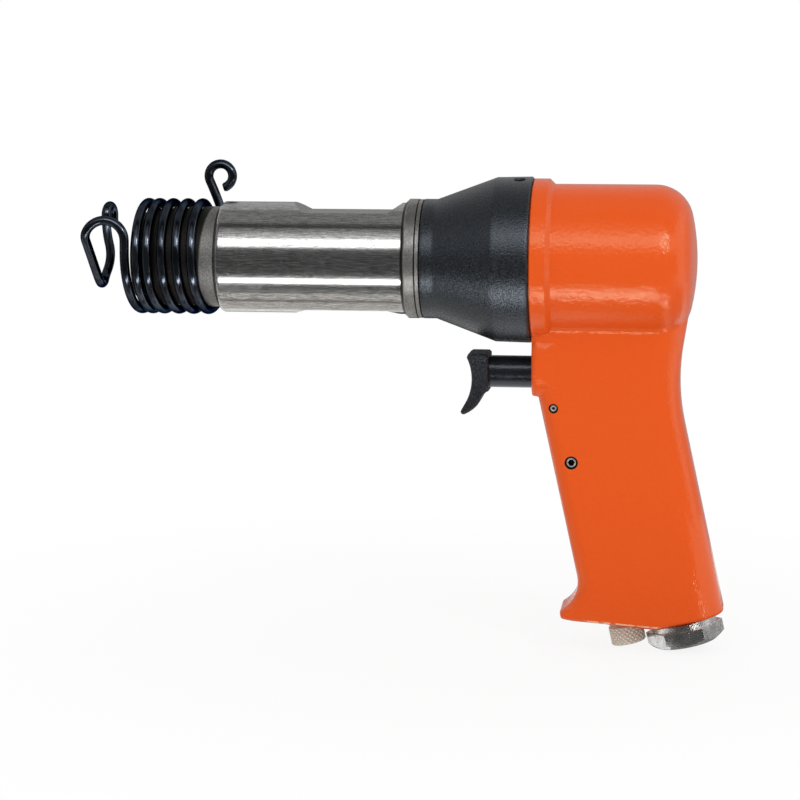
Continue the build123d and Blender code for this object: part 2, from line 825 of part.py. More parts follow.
# Ring train: lock collar, thin washer and exhaust deflector
with BuildPart() as lock_collar:
    with BuildSketch(Plane.XZ):
        Polygon(
            (collar_start, barrel_radius + snug),
            (collar_start, collar_radius - collar_chamfer),
            (collar_start + collar_chamfer, collar_radius),
            (collar_end, collar_radius),
            (collar_end, ring_hub_radius),
            (washer_start, ring_hub_radius),
            (washer_start, barrel_radius + snug),
            align=None,
        )
    revolve(axis=Axis.X)
save(lock_collar, "lock_collar")

with BuildPart() as deflector_washer:
    with BuildSketch(rear_plane(washer_start)):
        Circle(washer_radius)
        Circle(barrel_radius + snug, mode=Mode.SUBTRACT)
    extrude(amount=washer_thickness)
save(deflector_washer, "deflector_washer")

with BuildPart() as exhaust_deflector:
    cone_slope = (deflector_cone_radius - deflector_front_radius) / deflector_cone_length
    cone_wall = deflector_wall * sqrt(1 + cone_slope ** 2)
    hub_end = deflector_start + deflector_hub_length
    hub_cone = deflector_front_radius + cone_slope * (hub_end - cone_start) - cone_wall
    rim_radius = deflector_rear_radius - deflector_wall
    with BuildSketch(Plane.XZ):
        Polygon(
            (deflector_start, barrel_radius + running),
            (deflector_start, ring_hub_radius),
            (deflector_start + ring_step, ring_hub_radius),
            (deflector_start + ring_step, deflector_front_radius),
            (cone_start, deflector_front_radius),
            (cone_end, deflector_cone_radius),
            (deflector_end - deflector_edge, deflector_rear_radius),
            (deflector_end, deflector_rear_radius - deflector_edge),
            (deflector_end, rim_radius),
            (cone_end + deflector_wall, rim_radius),
            (cone_end, deflector_cone_radius - cone_wall),
            (hub_end, hub_cone),
            (hub_end, barrel_radius + running),
            align=None,
        )
    revolve(axis=Axis.X)
    for hole in range(exhaust_hole_count):
        turn = radians(exhaust_hole_lean - hole * exhaust_hole_step)
        hole_plane = Plane(
            origin=(deflector_end - exhaust_hole_inset, 0, 0),
            z_dir=(0, -sin(turn), cos(turn)),
        )
        with BuildSketch(hole_plane):
            Circle(exhaust_hole_radius)
        extrude(amount=2 * deflector_rear_radius, mode=Mode.SUBTRACT)
save(exhaust_deflector, "exhaust_deflector")

# Retaining spring, one wire
with BuildPart() as retaining_spring:
    with BuildLine() as spring_line:
        draw_route(spring_stations)
    with BuildSketch(spring_line.wire() ^ 0):
        Circle(wire_radius)
    sweep(path=spring_line.wire())
save(retaining_spring, "retaining_spring")
print("  gap", route_gap(spring_line.wire(), 2 * wire_radius, 1.0), "volume over section times length",
      retaining_spring.part.volume / (pi * wire_radius ** 2 * spring_line.wire().length))

# Trigger and its stem
with BuildPart() as trigger:
    with BuildSketch(Plane.XZ):
        with BuildLine():
            Polyline(*from_stem(trigger_top))
            Spline(*from_stem(trigger_back))
            ThreePointArc(*from_stem(trigger_tip))
            Line(*from_stem([trigger_tip[-1], trigger_hollow[0]]))
            ThreePointArc(*from_stem(trigger_hollow))
        make_face()
    extrude(amount=trigger_half, both=True)
    fillet(trigger.faces().filter_by(Axis.Y).edges(), trigger_edge)
    with BuildSketch(Plane(origin=(stem_front, 0, stem_height), z_dir=(-1, 0, 0))):
        Circle(spigot_radius + snug)
    extrude(amount=spigot_depth + touch_gap, mode=Mode.SUBTRACT)
save(trigger, "trigger")

with BuildPart() as trigger_stem:
    with BuildSketch(Plane(origin=(stem_front, 0, stem_height), z_dir=(1, 0, 0))):
        Circle(stem_radius)
    extrude(amount=stem_end - stem_front)
    chamfer(trigger_stem.edges().group_by(Axis.X)[-1], stem_chamfer)
    with BuildSketch(Plane(origin=(stem_front, 0, stem_height), z_dir=(-1, 0, 0))):
        Circle(spigot_radius)
    extrude(amount=spigot_depth)
    # Notch for the lever's nose, flared towards the underside
    with BuildSketch(Plane.XZ):
        Polygon(
            (notch_front, notch_top),
            (notch_front, stem_height),
            (notch_front - notch_flare, stem_height - stem_radius),
            (notch_rear + notch_flare, stem_height - stem_radius),
            (notch_rear, stem_height),
            (notch_rear, notch_top),
            align=None,
        )
    extrude(amount=2 * stem_radius, both=True, mode=Mode.SUBTRACT)
save(trigger_stem, "trigger_stem")

# Throttle lever at rest, on its pin
with BuildPart() as throttle_lever:
    for nose in (upper_nose(-half_swing), lower_nose(-half_swing)):
        arm = nose - pin_place
        with BuildSketch(Plane.XZ):
            with Locations((pin_place.X, pin_place.Z)):
                Circle(lever_hub_radius)
            with Locations((nose.X, nose.Z)):
                Circle(lever_nose_radius)
            with Locations(Location(((pin_place.X + nose.X) / 2, (pin_place.Z + nose.Z) / 2),
                                    degrees(atan2(arm.Z, arm.X)))):
                Rectangle(arm.length, 2 * lever_arm_half)
        extrude(amount=lever_half, both=True)
    with BuildSketch(Plane.XZ):
        with Locations((pin_place.X, pin_place.Z)):
            Circle(lever_pin_radius + running)
    extrude(amount=2 * lever_half, both=True, mode=Mode.SUBTRACT)
save(throttle_lever, "throttle_lever")

with BuildPart() as lever_pin:
    with BuildSketch(Plane.XZ):
        with Locations((pin_place.X, pin_place.Z)):
            Circle(lever_pin_radius)
            Circle(lever_pin_bore, mode=Mode.SUBTRACT)
    extrude(amount=grip_half - lever_pin_recess, both=True)
save(lever_pin, "lever_pin")

# Screw that locks the throttle seat, from the near side
with BuildPart() as seat_screw:
    with BuildSketch(Plane.XZ.offset(seat_dog_end)):
        with Locations((seat_place.X, seat_place.Z)):
            Circle(seat_dog_radius)
    extrude(amount=seat_dog_length)
    with BuildSketch(Plane.XZ.offset(seat_shoulder)):
        with Locations((seat_place.X, seat_place.Z)):
            Circle(seat_screw_radius)
    extrude(amount=seat_screw_length)
    with BuildSketch(Plane.XZ.offset(seat_shoulder + seat_screw_length)):
        with Locations((seat_place.X, seat_place.Z)):
            RegularPolygon(seat_screw_socket / 2, 6, major_radius=False)
    extrude(amount=-seat_screw_socket_depth, mode=Mode.SUBTRACT)
save(seat_screw, "seat_screw")

# Throttle seat, with its rings
with BuildPart() as throttle_seat:
    seat_end = seat_start + seat_length
    groove_floor = bush_radius - 2 * ring_minor - snug
    guide_floor = guide_radius + running + 2 * ring_minor + snug
    ring_half = ring_minor + ring_room
    with BuildSketch(grip_side):
        Polygon(
            (seat_radius, seat_start),
            (bush_radius, seat_start),
            (bush_radius, seat_ring_along - ring_half),
            (groove_floor, seat_ring_along - ring_half),
            (groove_floor, seat_ring_along + ring_half),
            (bush_radius, seat_ring_along + ring_half),
            (bush_radius, seat_end),
            (guide_radius + running, seat_end),
            (guide_radius + running, guide_ring_along + ring_half),
            (guide_floor, guide_ring_along + ring_half),
            (guide_floor, guide_ring_along - ring_half),
            (guide_radius + running, guide_ring_along - ring_half),
            (guide_radius + running, seat_start + seat_depth),
            (seat_radius, seat_start + seat_depth),
            align=None,
        )
    revolve(axis=throttle_axis)
    with BuildSketch(Plane(origin=grip_point(0, seat_port_along), z_dir=rearward)):
        Circle(seat_port_radius)
    extrude(amount=2 * bush_radius, mode=Mode.SUBTRACT)
    with BuildSketch(Plane.XZ):
        with Locations((seat_place.X, seat_place.Z)):
            Circle(seat_dog_radius + snug)
    extrude(amount=2 * bush_radius, both=True, mode=Mode.SUBTRACT)
save(throttle_seat, "throttle_seat")

with BuildPart() as seat_o_ring:
    with BuildSketch(grip_side):
        with Locations((bush_radius - ring_minor, seat_ring_along)):
            Circle(ring_minor)
    revolve(axis=throttle_axis)
save(seat_o_ring, "seat_o_ring")

with BuildPart() as guide_o_ring:
    with BuildSketch(grip_side):
        with Locations((guide_radius + running + ring_minor, guide_ring_along)):
            Circle(ring_minor)
    revolve(axis=throttle_axis)
save(guide_o_ring, "guide_o_ring")

# Throttle valve with its rubber face and spring
with BuildPart() as throttle_valve:
    with BuildSketch(grip_side):
        Polygon(
            (0, poppet_bottom - poppet_boss_length),
            (poppet_boss_radius, poppet_bottom - poppet_boss_length),
            (poppet_boss_radius, poppet_bottom),
            (poppet_radius, poppet_bottom),
            (poppet_radius, valve_face_start),
            (guide_radius, valve_face_start),
            (guide_radius, valve_tip),
            (0, valve_tip),
            align=None,
        )
    revolve(axis=throttle_axis)
save(throttle_valve, "throttle_valve")

with BuildPart() as valve_face:
    with BuildSketch(grip_level(valve_face_start)):
        Circle(face_radius)
        Circle(guide_radius + snug, mode=Mode.SUBTRACT)
    extrude(amount=face_thickness)
save(valve_face, "valve_face")

with BuildPart() as throttle_spring:
    with BuildLine() as coil_line:
        draw_route([valve_spring_station(quarter) for quarter in range(4 * spring_turns + 1)])
    with BuildSketch(coil_line.wire() ^ 0):
        Circle(spring_wire)
    sweep(path=coil_line.wire())
save(throttle_spring, "throttle_spring")
print("  gap", route_gap(coil_line.wire(), 2 * spring_wire, 0.5), "volume over section times length",
      throttle_spring.part.volume / (pi * spring_wire ** 2 * coil_line.wire().length))

# Regulator spindle with its knob, ring and clip
with BuildPart() as regulator_spindle:
    with BuildSketch(grip_side):
        Polygon(
            (0, knob_bottom),
            (knob_radius - knob_edge, knob_bottom),
            (knob_radius, knob_bottom + knob_edge),
            (knob_radius, knob_top - knob_edge),
            (knob_radius - knob_edge, knob_top),
            (regulator_neck_radius, knob_top),
            (regulator_neck_radius, regulator_shoulder),
            (bush_radius, regulator_shoulder),
            (bush_radius, regulator_ring_along - ring_half),
            (groove_floor, regulator_ring_along - ring_half),
            (groove_floor, regulator_ring_along + ring_half),
            (bush_radius, regulator_ring_along + ring_half),
            (bush_radius, regulator_top),
            (regulator_cup_radius, regulator_top),
            (regulator_cup_radius, spring_seat),
            (regulator_bore, spring_seat),
            (regulator_bore, regulator_port_along - regulator_port_depth),
            (0, regulator_port_along - regulator_port_depth),
            align=None,
        )
    revolve(axis=throttle_axis)
    with BuildSketch(Plane(origin=grip_point(0, regulator_port_along), z_dir=rearward)):
        Circle(regulator_bore)
    extrude(amount=2 * bush_radius, mode=Mode.SUBTRACT)
save(regulator_spindle, "regulator_spindle")

with BuildPart() as regulator_o_ring:
    with BuildSketch(grip_side):
        with Locations((bush_radius - ring_minor, regulator_ring_along)):
            Circle(ring_minor)
    revolve(axis=throttle_axis)
save(regulator_o_ring, "regulator_o_ring")

with BuildPart() as regulator_clip:
    with BuildSketch(grip_side):
        Polygon(
            (regulator_neck_radius + 2 * touch_gap, clip_along - clip_thickness / 2),
            (clip_outer, clip_along - clip_thickness / 2),
            (clip_outer, clip_along + clip_thickness / 2),
            (regulator_neck_radius + 2 * touch_gap, clip_along + clip_thickness / 2),
            align=None,
        )
    revolve(axis=throttle_axis, revolution_arc=360 - clip_gap_angle)
save(regulator_clip, "regulator_clip")

# Air inlet bushing and its strainer
with BuildPart() as inlet_bushing:
    with BuildSketch(grip_level(inlet_face - inlet_collar_length, inlet_across)):
        RegularPolygon(inlet_hex_flats / 2, 6, major_radius=False)
    extrude(amount=-inlet_hex_length)
    hex_corners = Plane(grip_side.origin + rearward * inlet_across, x_dir=rearward, z_dir=(0, -1, 0))
    hex_bottom = inlet_face - inlet_collar_length - inlet_hex_length
    with BuildSketch(hex_corners):
        Polygon(
            (inlet_hex_flats / 2 - inlet_hex_chamfer, hex_bottom),
            (inlet_hex_flats / 2 + 2 * inlet_hex_chamfer, hex_bottom + 2 * inlet_hex_chamfer),
            (inlet_hex_flats / 2 + 2 * inlet_hex_chamfer, hex_bottom - inlet_hex_chamfer),
            (inlet_hex_flats / 2 - inlet_hex_chamfer, hex_bottom - inlet_hex_chamfer),
            align=None,
        )
    revolve(axis=inlet_axis, mode=Mode.SUBTRACT)
    with BuildSketch(hex_corners):
        Polygon(
            (0, inlet_face - inlet_collar_length),
            (inlet_collar_radius, inlet_face - inlet_collar_length),
            (inlet_collar_radius, inlet_face),
            (inlet_thread_radius, inlet_face),
            (inlet_thread_radius, inlet_thread_top),
            (0, inlet_thread_top),
            align=None,
        )
    revolve(axis=inlet_axis)
    with BuildSketch(hex_corners):
        Polygon(
            (0, hex_bottom),
            (inlet_hole_radius + inlet_hole_chamfer, hex_bottom),
            (inlet_hole_radius, hex_bottom + inlet_hole_chamfer),
            (inlet_hole_radius, hex_bottom + inlet_hole_length),
            (inlet_throat_radius, hex_bottom + inlet_hole_length),
            (inlet_throat_radius, inlet_thread_top),
            (0, inlet_thread_top),
            align=None,
        )
    revolve(axis=inlet_axis, mode=Mode.SUBTRACT)
save(inlet_bushing, "inlet_bushing")

with BuildPart() as inlet_screen:
    screen_top = inlet_thread_top + screen_length
    with BuildSketch(hex_corners):
        Polygon(
            (screen_radius - screen_wall, inlet_thread_top),
            (screen_flange_radius, inlet_thread_top),
            (screen_flange_radius, inlet_thread_top + screen_wall),
            (screen_radius, inlet_thread_top + screen_wall),
            (screen_radius, screen_top),
            (0, screen_top),
            (0, screen_top - screen_wall),
            (screen_radius - screen_wall, screen_top - screen_wall),
            align=None,
        )
    revolve(axis=inlet_axis)
    for row in range(screen_rows):
        row_along = inlet_thread_top + (row + 1) * screen_length / (screen_rows + 1)
        for hole in range(screen_hole_count // 2):
            turn = radians(hole * 360 / screen_hole_count)
            hole_way = rearward * cos(turn) + Vector(0, sin(turn), 0)
            with BuildSketch(Plane(origin=grip_point(inlet_across, row_along), z_dir=hole_way)):
                Circle(screen_hole_radius)
            extrude(amount=2 * screen_radius, both=True, mode=Mode.SUBTRACT)
save(inlet_screen, "inlet_screen")

# Piston
with BuildPart() as piston:
    piston_front = socket_length + piston_rest_gap
    with BuildSketch(rear_plane(piston_front)):
        Circle(bore_radius - running)
    extrude(amount=piston_length)
    chamfer(piston.edges().filter_by(GeomType.CIRCLE), piston_chamfer)
    groove_span = (piston_groove_count - 1) * piston_groove_step
    first_groove = piston_front + (piston_length - groove_span) / 2
    for groove in range(piston_groove_count):
        groove_middle = first_groove + groove * piston_groove_step
        with BuildSketch(Plane.XZ):
            with Locations((groove_middle, bore_radius)):
                Rectangle(2 * piston_groove, 2 * piston_groove)
        revolve(axis=Axis.X, mode=Mode.SUBTRACT)
save(piston, "piston")

# Valve train behind the barrel
with BuildPart() as valve_block:
    with BuildSketch(rear_plane(barrel_end)):
        Circle(pocket_radius - snug)
        Circle(valve_port_radius, mode=Mode.SUBTRACT)
        with PolarLocations(return_circle, return_count):
            Circle(return_radius, mode=Mode.SUBTRACT)
        with Locations(*dowel_places):
            Circle(dowel_radius + snug, mode=Mode.SUBTRACT)
    extrude(amount=valve_length)
    with BuildSketch(rear_plane(valve_end)):
        Circle(valve_chamber_radius)
    extrude(amount=-valve_chamber_depth, mode=Mode.SUBTRACT)
save(valve_block, "valve_block")

with BuildPart() as shuttle_valve:
    shuttle_front = valve_end - valve_chamber_depth + shuttle_rest_gap
    shuttle_radius = valve_chamber_radius - running
    with BuildSketch(Plane.XZ):
        Polygon(
            (shuttle_front, shuttle_hole),
            (shuttle_front, shuttle_radius),
            (shuttle_front + shuttle_length, shuttle_radius),
            (shuttle_front + shuttle_length, shuttle_hole + 2 * shuttle_dish),
            (shuttle_front + shuttle_length - shuttle_dish, shuttle_hole),
            align=None,
        )
    revolve(axis=Axis.X)
save(shuttle_valve, "shuttle_valve")

with BuildPart() as valve_cap:
    with BuildSketch(rear_plane(valve_end)):
        Circle(pocket_radius - snug)
        with PolarLocations(cap_hole_circle, cap_hole_count):
            Circle(cap_hole_radius, mode=Mode.SUBTRACT)
        with Locations(*dowel_places):
            Circle(dowel_radius + snug, mode=Mode.SUBTRACT)
    extrude(amount=cap_length)
    with BuildSketch(rear_plane(valve_end)):
        SlotOverall(2 * (return_circle + cap_slot_width / 2), cap_slot_width)
    extrude(amount=cap_slot_depth, mode=Mode.SUBTRACT)
save(valve_cap, "valve_cap")

with BuildPart() as valve_gasket:
    with BuildSketch(rear_plane(cap_end)):
        Circle(pocket_radius - snug)
        Circle(chamber_radius, mode=Mode.SUBTRACT)
    extrude(amount=gasket_thickness)
save(valve_gasket, "valve_gasket")

with BuildPart() as dowel_far:
    with BuildSketch(rear_plane(barrel_end - dowel_depth)):
        with Locations(dowel_places[0]):
            Circle(dowel_radius)
    extrude(amount=cap_end - barrel_end + dowel_depth)
save(dowel_far, "dowel_far")

with BuildPart() as dowel_near:
    with BuildSketch(rear_plane(barrel_end - dowel_depth)):
        with Locations(dowel_places[1]):
            Circle(dowel_radius)
    extrude(amount=cap_end - barrel_end + dowel_depth)
save(dowel_near, "dowel_near")

print("lever pin at", tuple(pin_place), "valve travel", valve_travel)
print("valve axis", tuple(upward * -1), "inlet mouth", tuple(grip_point(inlet_across, hex_bottom)))
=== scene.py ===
"""Looks of a pistol-grip air hammer: finishes, wound and knurled pieces, studio and camera.

Everything is in metres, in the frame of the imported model. The wire's route, the knob and the
finishes are typed in millimetres, and mm turns them into metres.
"""

import json
from math import acos, atan2, ceil, cos, pi, radians, sin, sqrt, tan

import bpy
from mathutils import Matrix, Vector


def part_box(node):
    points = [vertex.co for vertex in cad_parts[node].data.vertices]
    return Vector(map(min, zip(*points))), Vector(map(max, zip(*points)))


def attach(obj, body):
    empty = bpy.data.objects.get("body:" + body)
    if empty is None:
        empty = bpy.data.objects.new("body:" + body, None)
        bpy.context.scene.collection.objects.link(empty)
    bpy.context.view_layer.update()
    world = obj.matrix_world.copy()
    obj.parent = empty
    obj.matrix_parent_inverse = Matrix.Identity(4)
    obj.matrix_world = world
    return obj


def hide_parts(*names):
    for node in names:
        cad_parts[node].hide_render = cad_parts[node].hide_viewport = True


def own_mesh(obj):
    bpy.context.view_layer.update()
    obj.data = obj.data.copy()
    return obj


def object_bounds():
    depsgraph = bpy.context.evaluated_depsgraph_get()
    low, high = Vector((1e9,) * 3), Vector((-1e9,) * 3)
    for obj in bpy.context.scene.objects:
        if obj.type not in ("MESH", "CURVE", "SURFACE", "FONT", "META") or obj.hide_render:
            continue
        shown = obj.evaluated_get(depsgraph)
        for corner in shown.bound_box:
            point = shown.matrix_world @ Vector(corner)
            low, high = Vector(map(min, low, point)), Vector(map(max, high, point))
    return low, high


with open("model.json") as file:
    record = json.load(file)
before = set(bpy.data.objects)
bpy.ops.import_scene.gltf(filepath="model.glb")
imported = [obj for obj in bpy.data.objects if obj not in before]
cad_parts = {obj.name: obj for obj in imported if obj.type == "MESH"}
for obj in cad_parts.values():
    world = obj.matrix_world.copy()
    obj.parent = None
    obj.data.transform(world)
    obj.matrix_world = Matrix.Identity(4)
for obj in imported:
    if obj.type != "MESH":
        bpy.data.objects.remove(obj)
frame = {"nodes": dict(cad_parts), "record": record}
cad_nodes = frame["nodes"]
cad_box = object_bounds()
mm = 0.001

# Retaining spring, the same sizes as its solid
nose_radius = 19.5
nose_length = 24.0
wire_radius = 1.8
coil_stand = 1.3
coil_rear_gap = 1.9
coil_skew = 0.096
rear_pitch = 5.8
front_pitch = 4.23
rear_quarters = 14
front_quarters = 8
collar_start = 96.4
ring_hub_radius = 22.4
eye_radius = 4.75
eye_height = 30.15
eye_back = 2.8
eye_start = -76.0
eye_end = 204.0
gate_rise = 7.5
gate_arc_radius = 7.7
gate_spread = 19.6
gate_radius = 11.0
gate_forward = 1.8
far_leg_bow = 0.20
far_leg_top = 14.1
far_leg_lean = 1.0
far_bend_radius = 3.7
far_bend_turn = 11.5
far_end_length = 3.0
coil_radius = nose_radius + coil_stand
coil_rear = nose_length - coil_rear_gap - wire_radius

# Fineness of the wires, their cut ends, and the angle in degrees that stays crisp
straight_share = 1e-4
wire_facets = 24
wire_step = 0.7
wire_end_taper = 0.35
wire_end_share = 0.86
wire_sharp = 40.0

# Throttle spring, butt and knob, in the grip's leaning frame
lean = radians(12.5)
rearward = Vector((cos(lean), 0, sin(lean)))
upward = Vector((-sin(lean), 0, cos(lean)))
butt = Vector((182.95, 0.0, -145.5))
butt_face = 2.2
butt_corner = 12.56
butt_slope = radians(16.5)
rim_height = 0.65
rim_half = 0.45
rim_highlight_half = 14.5
spring_seat = 38.003
spring_top = 56.998
spring_wire = 0.45
spring_radius = 4.5
spring_turns = 6
spring_facets = 12
spring_step = 0.45
knob_radius = 6.4
knob_top = 3.7
knob_bottom = -3.38
knurl_depth = 0.5
knurl_count = 21
knurl_lead = 1.9
knurl_edge = 0.15
knurl_around = 272
knurl_along = 44
knurl_sharp = 60.0

# Colours, linear
paint_orange = (0.78, 0.093, 0.0105, 1.0)
paint_thin = (0.84, 0.135, 0.020, 1.0)
paint_shade = (0.71, 0.070, 0.005, 1.0)
painted_rim_highlight = (0.90, 0.52, 0.30, 1.0)
paint_gloss = (0.60, 1.0, 0.70, 1.0)
# Near black for painted shade in recesses, corners and grooves, and for the specks on pin ends
shade_and_speck_dark = (0.012, 0.011, 0.010, 1.0)
steel_light = (0.76, 0.75, 0.73, 1.0)
steel_dark = (0.32, 0.315, 0.305, 1.0)
ground_light = (0.90, 0.895, 0.885, 1.0)
ground_dark = (0.28, 0.278, 0.275, 1.0)
pin_light = (0.95, 0.93, 0.90, 1.0)
nose_light = (0.44, 0.432, 0.415, 1.0)
nose_dark = (0.19, 0.184, 0.174, 1.0)
black_coat = (0.0055, 0.0058, 0.0068, 1.0)
black_worn = (0.030, 0.031, 0.036, 1.0)
cool_gloss = (0.78, 0.88, 1.0, 1.0)
wire_blue = (0.095, 0.112, 0.140, 1.0)
wire_black = (0.042, 0.048, 0.060, 1.0)
wire_edge = (0.22, 0.24, 0.28, 1.0)
zinc_light = (0.86, 0.855, 0.835, 1.0)
zinc_dark = (0.36, 0.355, 0.345, 1.0)
knob_light = (0.92, 0.97, 0.88, 1.0)
knob_shade_and_patch = (0.58, 0.50, 0.39, 1.0)
brass_light = (0.72, 0.50, 0.20, 1.0)
brass_dark = (0.48, 0.31, 0.11, 1.0)
rubber_black = (0.018, 0.018, 0.018, 1.0)
rubber_bloom = (0.045, 0.045, 0.045, 1.0)
floor_grey = (0.82, 0.82, 0.82, 1.0)
plain_white = (1.0, 1.0, 1.0, 1.0)

# Noise: the usual range of its height, and the ranges that masks are cut from
grain_low = 0.3
grain_high = 0.7
mask_low = 0.38
mask_high = 0.66
streak_low = 0.36
streak_high = 0.62
wear_low = 0.36
wear_high = 0.60
wear_least = 0.25
rim_spot_low = 0.40
rim_spot_high = 0.52
plate_high = 0.6
plate_least = 0.7

# Edges: cosines between the true and the rounded normal, samples, and rounding in millimetres
edge_flat = 0.99
edge_sharp = 0.86
edge_samples = 6
paint_edge = 0.7
paint_rounding = 0.8
steel_rounding = 0.3
black_edge = 0.3

# Roughness from the low to the high places of a grain
paint_rough = (0.14, 0.20)
ground_rough = (0.13, 0.20)
knob_rough = (0.40, 0.56)
pin_rough = (0.16, 0.30)
wire_rough = (0.10, 0.18)
rubber_rough = (0.55, 0.72)
nose_roughening = 0.40
metal_below = 0.07
metal_above = 0.09
black_below = 0.06
black_above = 0.08

# Height of the grain in millimetres, and how many times higher it is on the nose
peel_depth = 0.21
streak_depth = 0.006
knob_depth = 0.01
wire_depth = 0.004
rubber_depth = 0.006
nose_relief = 6.0

# Shares of the effects
thin_share = 0.5
shade_share = 0.10
fine_share = 0.10
line_share = 0.70
speck_share = 0.6
rubbed_share = 0.7
pin_speck_share = 0.45
black_rubbed_share = 0.5
black_speck_share = 0.45
bloom_share = 0.5
knob_end_share = 0.6
tooth_share = 0.8
pin_dome = 0.5
rim_core = 0.5

# Places of painted shade, holes and the rim's painted highlight in millimetres, and how dark the painted
# shade gets
pin_hole_radius = 1.8
screw_hole_radius = 2.5
mask_edge = 0.12
near_side_depth = 1.0
nose_edge_start = 0.1
nose_edge_end = 0.3
wire_shade_start = 0.5
wire_shade_end = 1.2
wire_shade_most = 0.92
corner_shade_start = 0.7
corner_shade_end = 0.3
corner_shade_most = 0.9
collar_shade_start = 0.5
collar_shade_end = 0.25
collar_shade_most = 0.85
ring_shade_rise = 0.1
ring_shade_edge = 0.1
ring_shade_most = 0.9
knob_end_start = 0.2
knob_end_edge = 0.1
pin_rim_edge = 0.25
pin_socket_start = 0.4
pin_socket_edge = 0.15
rim_highlight_fade = 1.0


def set_socket(tree, socket, value):
    """Link an input to another node's output, or set it to a plain value."""
    if isinstance(value, bpy.types.NodeSocket):
        tree.links.new(value, socket)
    else:
        socket.default_value = value


def add_node(tree, kind, inputs=None, **options):
    """Add a node, set its options, and set or link its inputs."""
    node = tree.nodes.new(kind)
    for option, value in options.items():
        setattr(node, option, value)
    for socket, value in (inputs or {}).items():
        set_socket(tree, node.inputs[socket], value)
    return node


def calc(tree, operation, *values):
    """Result of one arithmetic node."""
    return add_node(tree, "ShaderNodeMath", dict(enumerate(values)), operation=operation).outputs[0]


def vector_calc(tree, operation, *values):
    """Result of one vector node: a value for a length, distance or dot product, and else a vector."""
    node = add_node(tree, "ShaderNodeVectorMath", dict(enumerate(values)), operation=operation)
    single = operation in ("LENGTH", "DISTANCE", "DOT_PRODUCT")
    return node.outputs["Value" if single else "Vector"]


def blended(tree, first, first_share, second, second_share):
    """Two values added by their shares."""
    first = calc(tree, "MULTIPLY", first, first_share)
    return calc(tree, "ADD", first, calc(tree, "MULTIPLY", second, second_share))


def graded(tree, value, low, high, low_result, high_result):
    """A value carried from one range to another and held at the ends."""
    ends = {"From Min": low, "From Max": high, "To Min": low_result, "To Max": high_result}
    return add_node(tree, "ShaderNodeMapRange", {"Value": value, **ends}).outputs["Result"]


def by_grain(tree, height, low, high):
    """A value that goes from low to high with the height of a grain."""
    return graded(tree, height, grain_low, grain_high, low, high)


def mixed(tree, share, first, second):
    """Two colours mixed by a share."""
    inputs = {0: share, 6: first, 7: second}
    return add_node(tree, "ShaderNodeMix", inputs, data_type="RGBA").outputs[2]


# Shared effects, each a group of nodes
def open_group(name, inputs, outputs):
    """Start a shader node group with named sockets of the kinds given."""
    tree = bpy.data.node_groups.new(name, "ShaderNodeTree")
    for label, kind in inputs:
        tree.interface.new_socket(name=label, in_out="INPUT", socket_type=kind)
    for label, kind in outputs:
        tree.interface.new_socket(name=label, in_out="OUTPUT", socket_type=kind)
    return tree, tree.nodes.new("NodeGroupInput").outputs, tree.nodes.new("NodeGroupOutput").inputs


def grain_group():
    """Cast or sprayed grain: a height, and a mask of its high places."""
    tree, given, result = open_group(
        "cast_grain",
        [("Place", "NodeSocketVector"), ("Grains per mm", "NodeSocketFloat"), ("Detail", "NodeSocketFloat")],
        [("Height", "NodeSocketFloat"), ("Mask", "NodeSocketFloat")],
    )
    noise = add_node(tree, "ShaderNodeTexNoise", {
        "Vector": given["Place"],
        "Scale": given["Grains per mm"],
        "Detail": given["Detail"],
        "Roughness": 0.55,
    })
    tree.links.new(noise.outputs["Fac"], result["Height"])
    tree.links.new(graded(tree, noise.outputs["Fac"], mask_low, mask_high, 0.0, 1.0), result["Mask"])
    return tree


def lines_group():
    """Fine lines that run along the first direction of the place given."""
    tree, given, result = open_group(
        "drawn_lines",
        [("Place", "NodeSocketVector"), ("Lines per mm", "NodeSocketFloat"), ("Length", "NodeSocketFloat")],
        [("Lines", "NodeSocketFloat")],
    )
    shorten = calc(tree, "DIVIDE", 1.0, given["Length"])
    squeeze = add_node(tree, "ShaderNodeCombineXYZ", {"X": shorten, "Y": 1.0, "Z": 1.0}).outputs[0]
    noise = add_node(tree, "ShaderNodeTexNoise", {
        "Vector": vector_calc(tree, "MULTIPLY", given["Place"], squeeze),
        "Scale": given["Lines per mm"],
        "Detail": 4.0,
        "Roughness": 0.7,
    })
    tree.links.new(noise.outputs["Fac"], result["Lines"])
    return tree


def edge_group():
    """Mask of the outer edges, where handling rubs a finish."""
    tree, given, result = open_group(
        "rubbed_edges",
        [("Radius", "NodeSocketFloat"), ("Place", "NodeSocketVector")],
        [("Mask", "NodeSocketFloat")],
    )
    rounded = add_node(tree, "ShaderNodeBevel", {"Radius": given["Radius"]}, samples=edge_samples)
    surface = add_node(tree, "ShaderNodeNewGeometry")
    turned = vector_calc(tree, "DOT_PRODUCT", rounded.outputs["Normal"], surface.outputs["Normal"])
    edge = graded(tree, turned, edge_flat, edge_sharp, 0.0, 1.0)
    noise = add_node(tree, "ShaderNodeTexNoise", {"Vector": given["Place"], "Scale": 0.9, "Detail": 3.0})
    broken = graded(tree, noise.outputs["Fac"], wear_low, wear_high, wear_least, 1.0)
    tree.links.new(calc(tree, "MULTIPLY", edge, broken), result["Mask"])
    return tree


cast_grain = grain_group()
drawn_lines = lines_group()
rubbed_edges = edge_group()


def use_group(tree, group, **inputs):
    """Place a shared effect in a material and return its outputs."""
    node = add_node(tree, "ShaderNodeGroup", node_tree=group)
    for label, value in inputs.items():
        set_socket(tree, node.inputs[label.replace("_", " ")], value)
    return node.outputs


# Finishes
def start_finish(name):
    """New material with its shader, and the place on the piece in millimetres."""
    finish = bpy.data.materials.new(name)
    finish.use_nodes = True
    tree = finish.node_tree
    shader = tree.nodes["Principled BSDF"]
    place = add_node(tree, "ShaderNodeTexCoord").outputs["Object"]
    place = add_node(tree, "ShaderNodeVectorMath", {0: place, "Scale": 1 / mm}, operation="SCALE").outputs[0]
    return finish, tree, shader, place


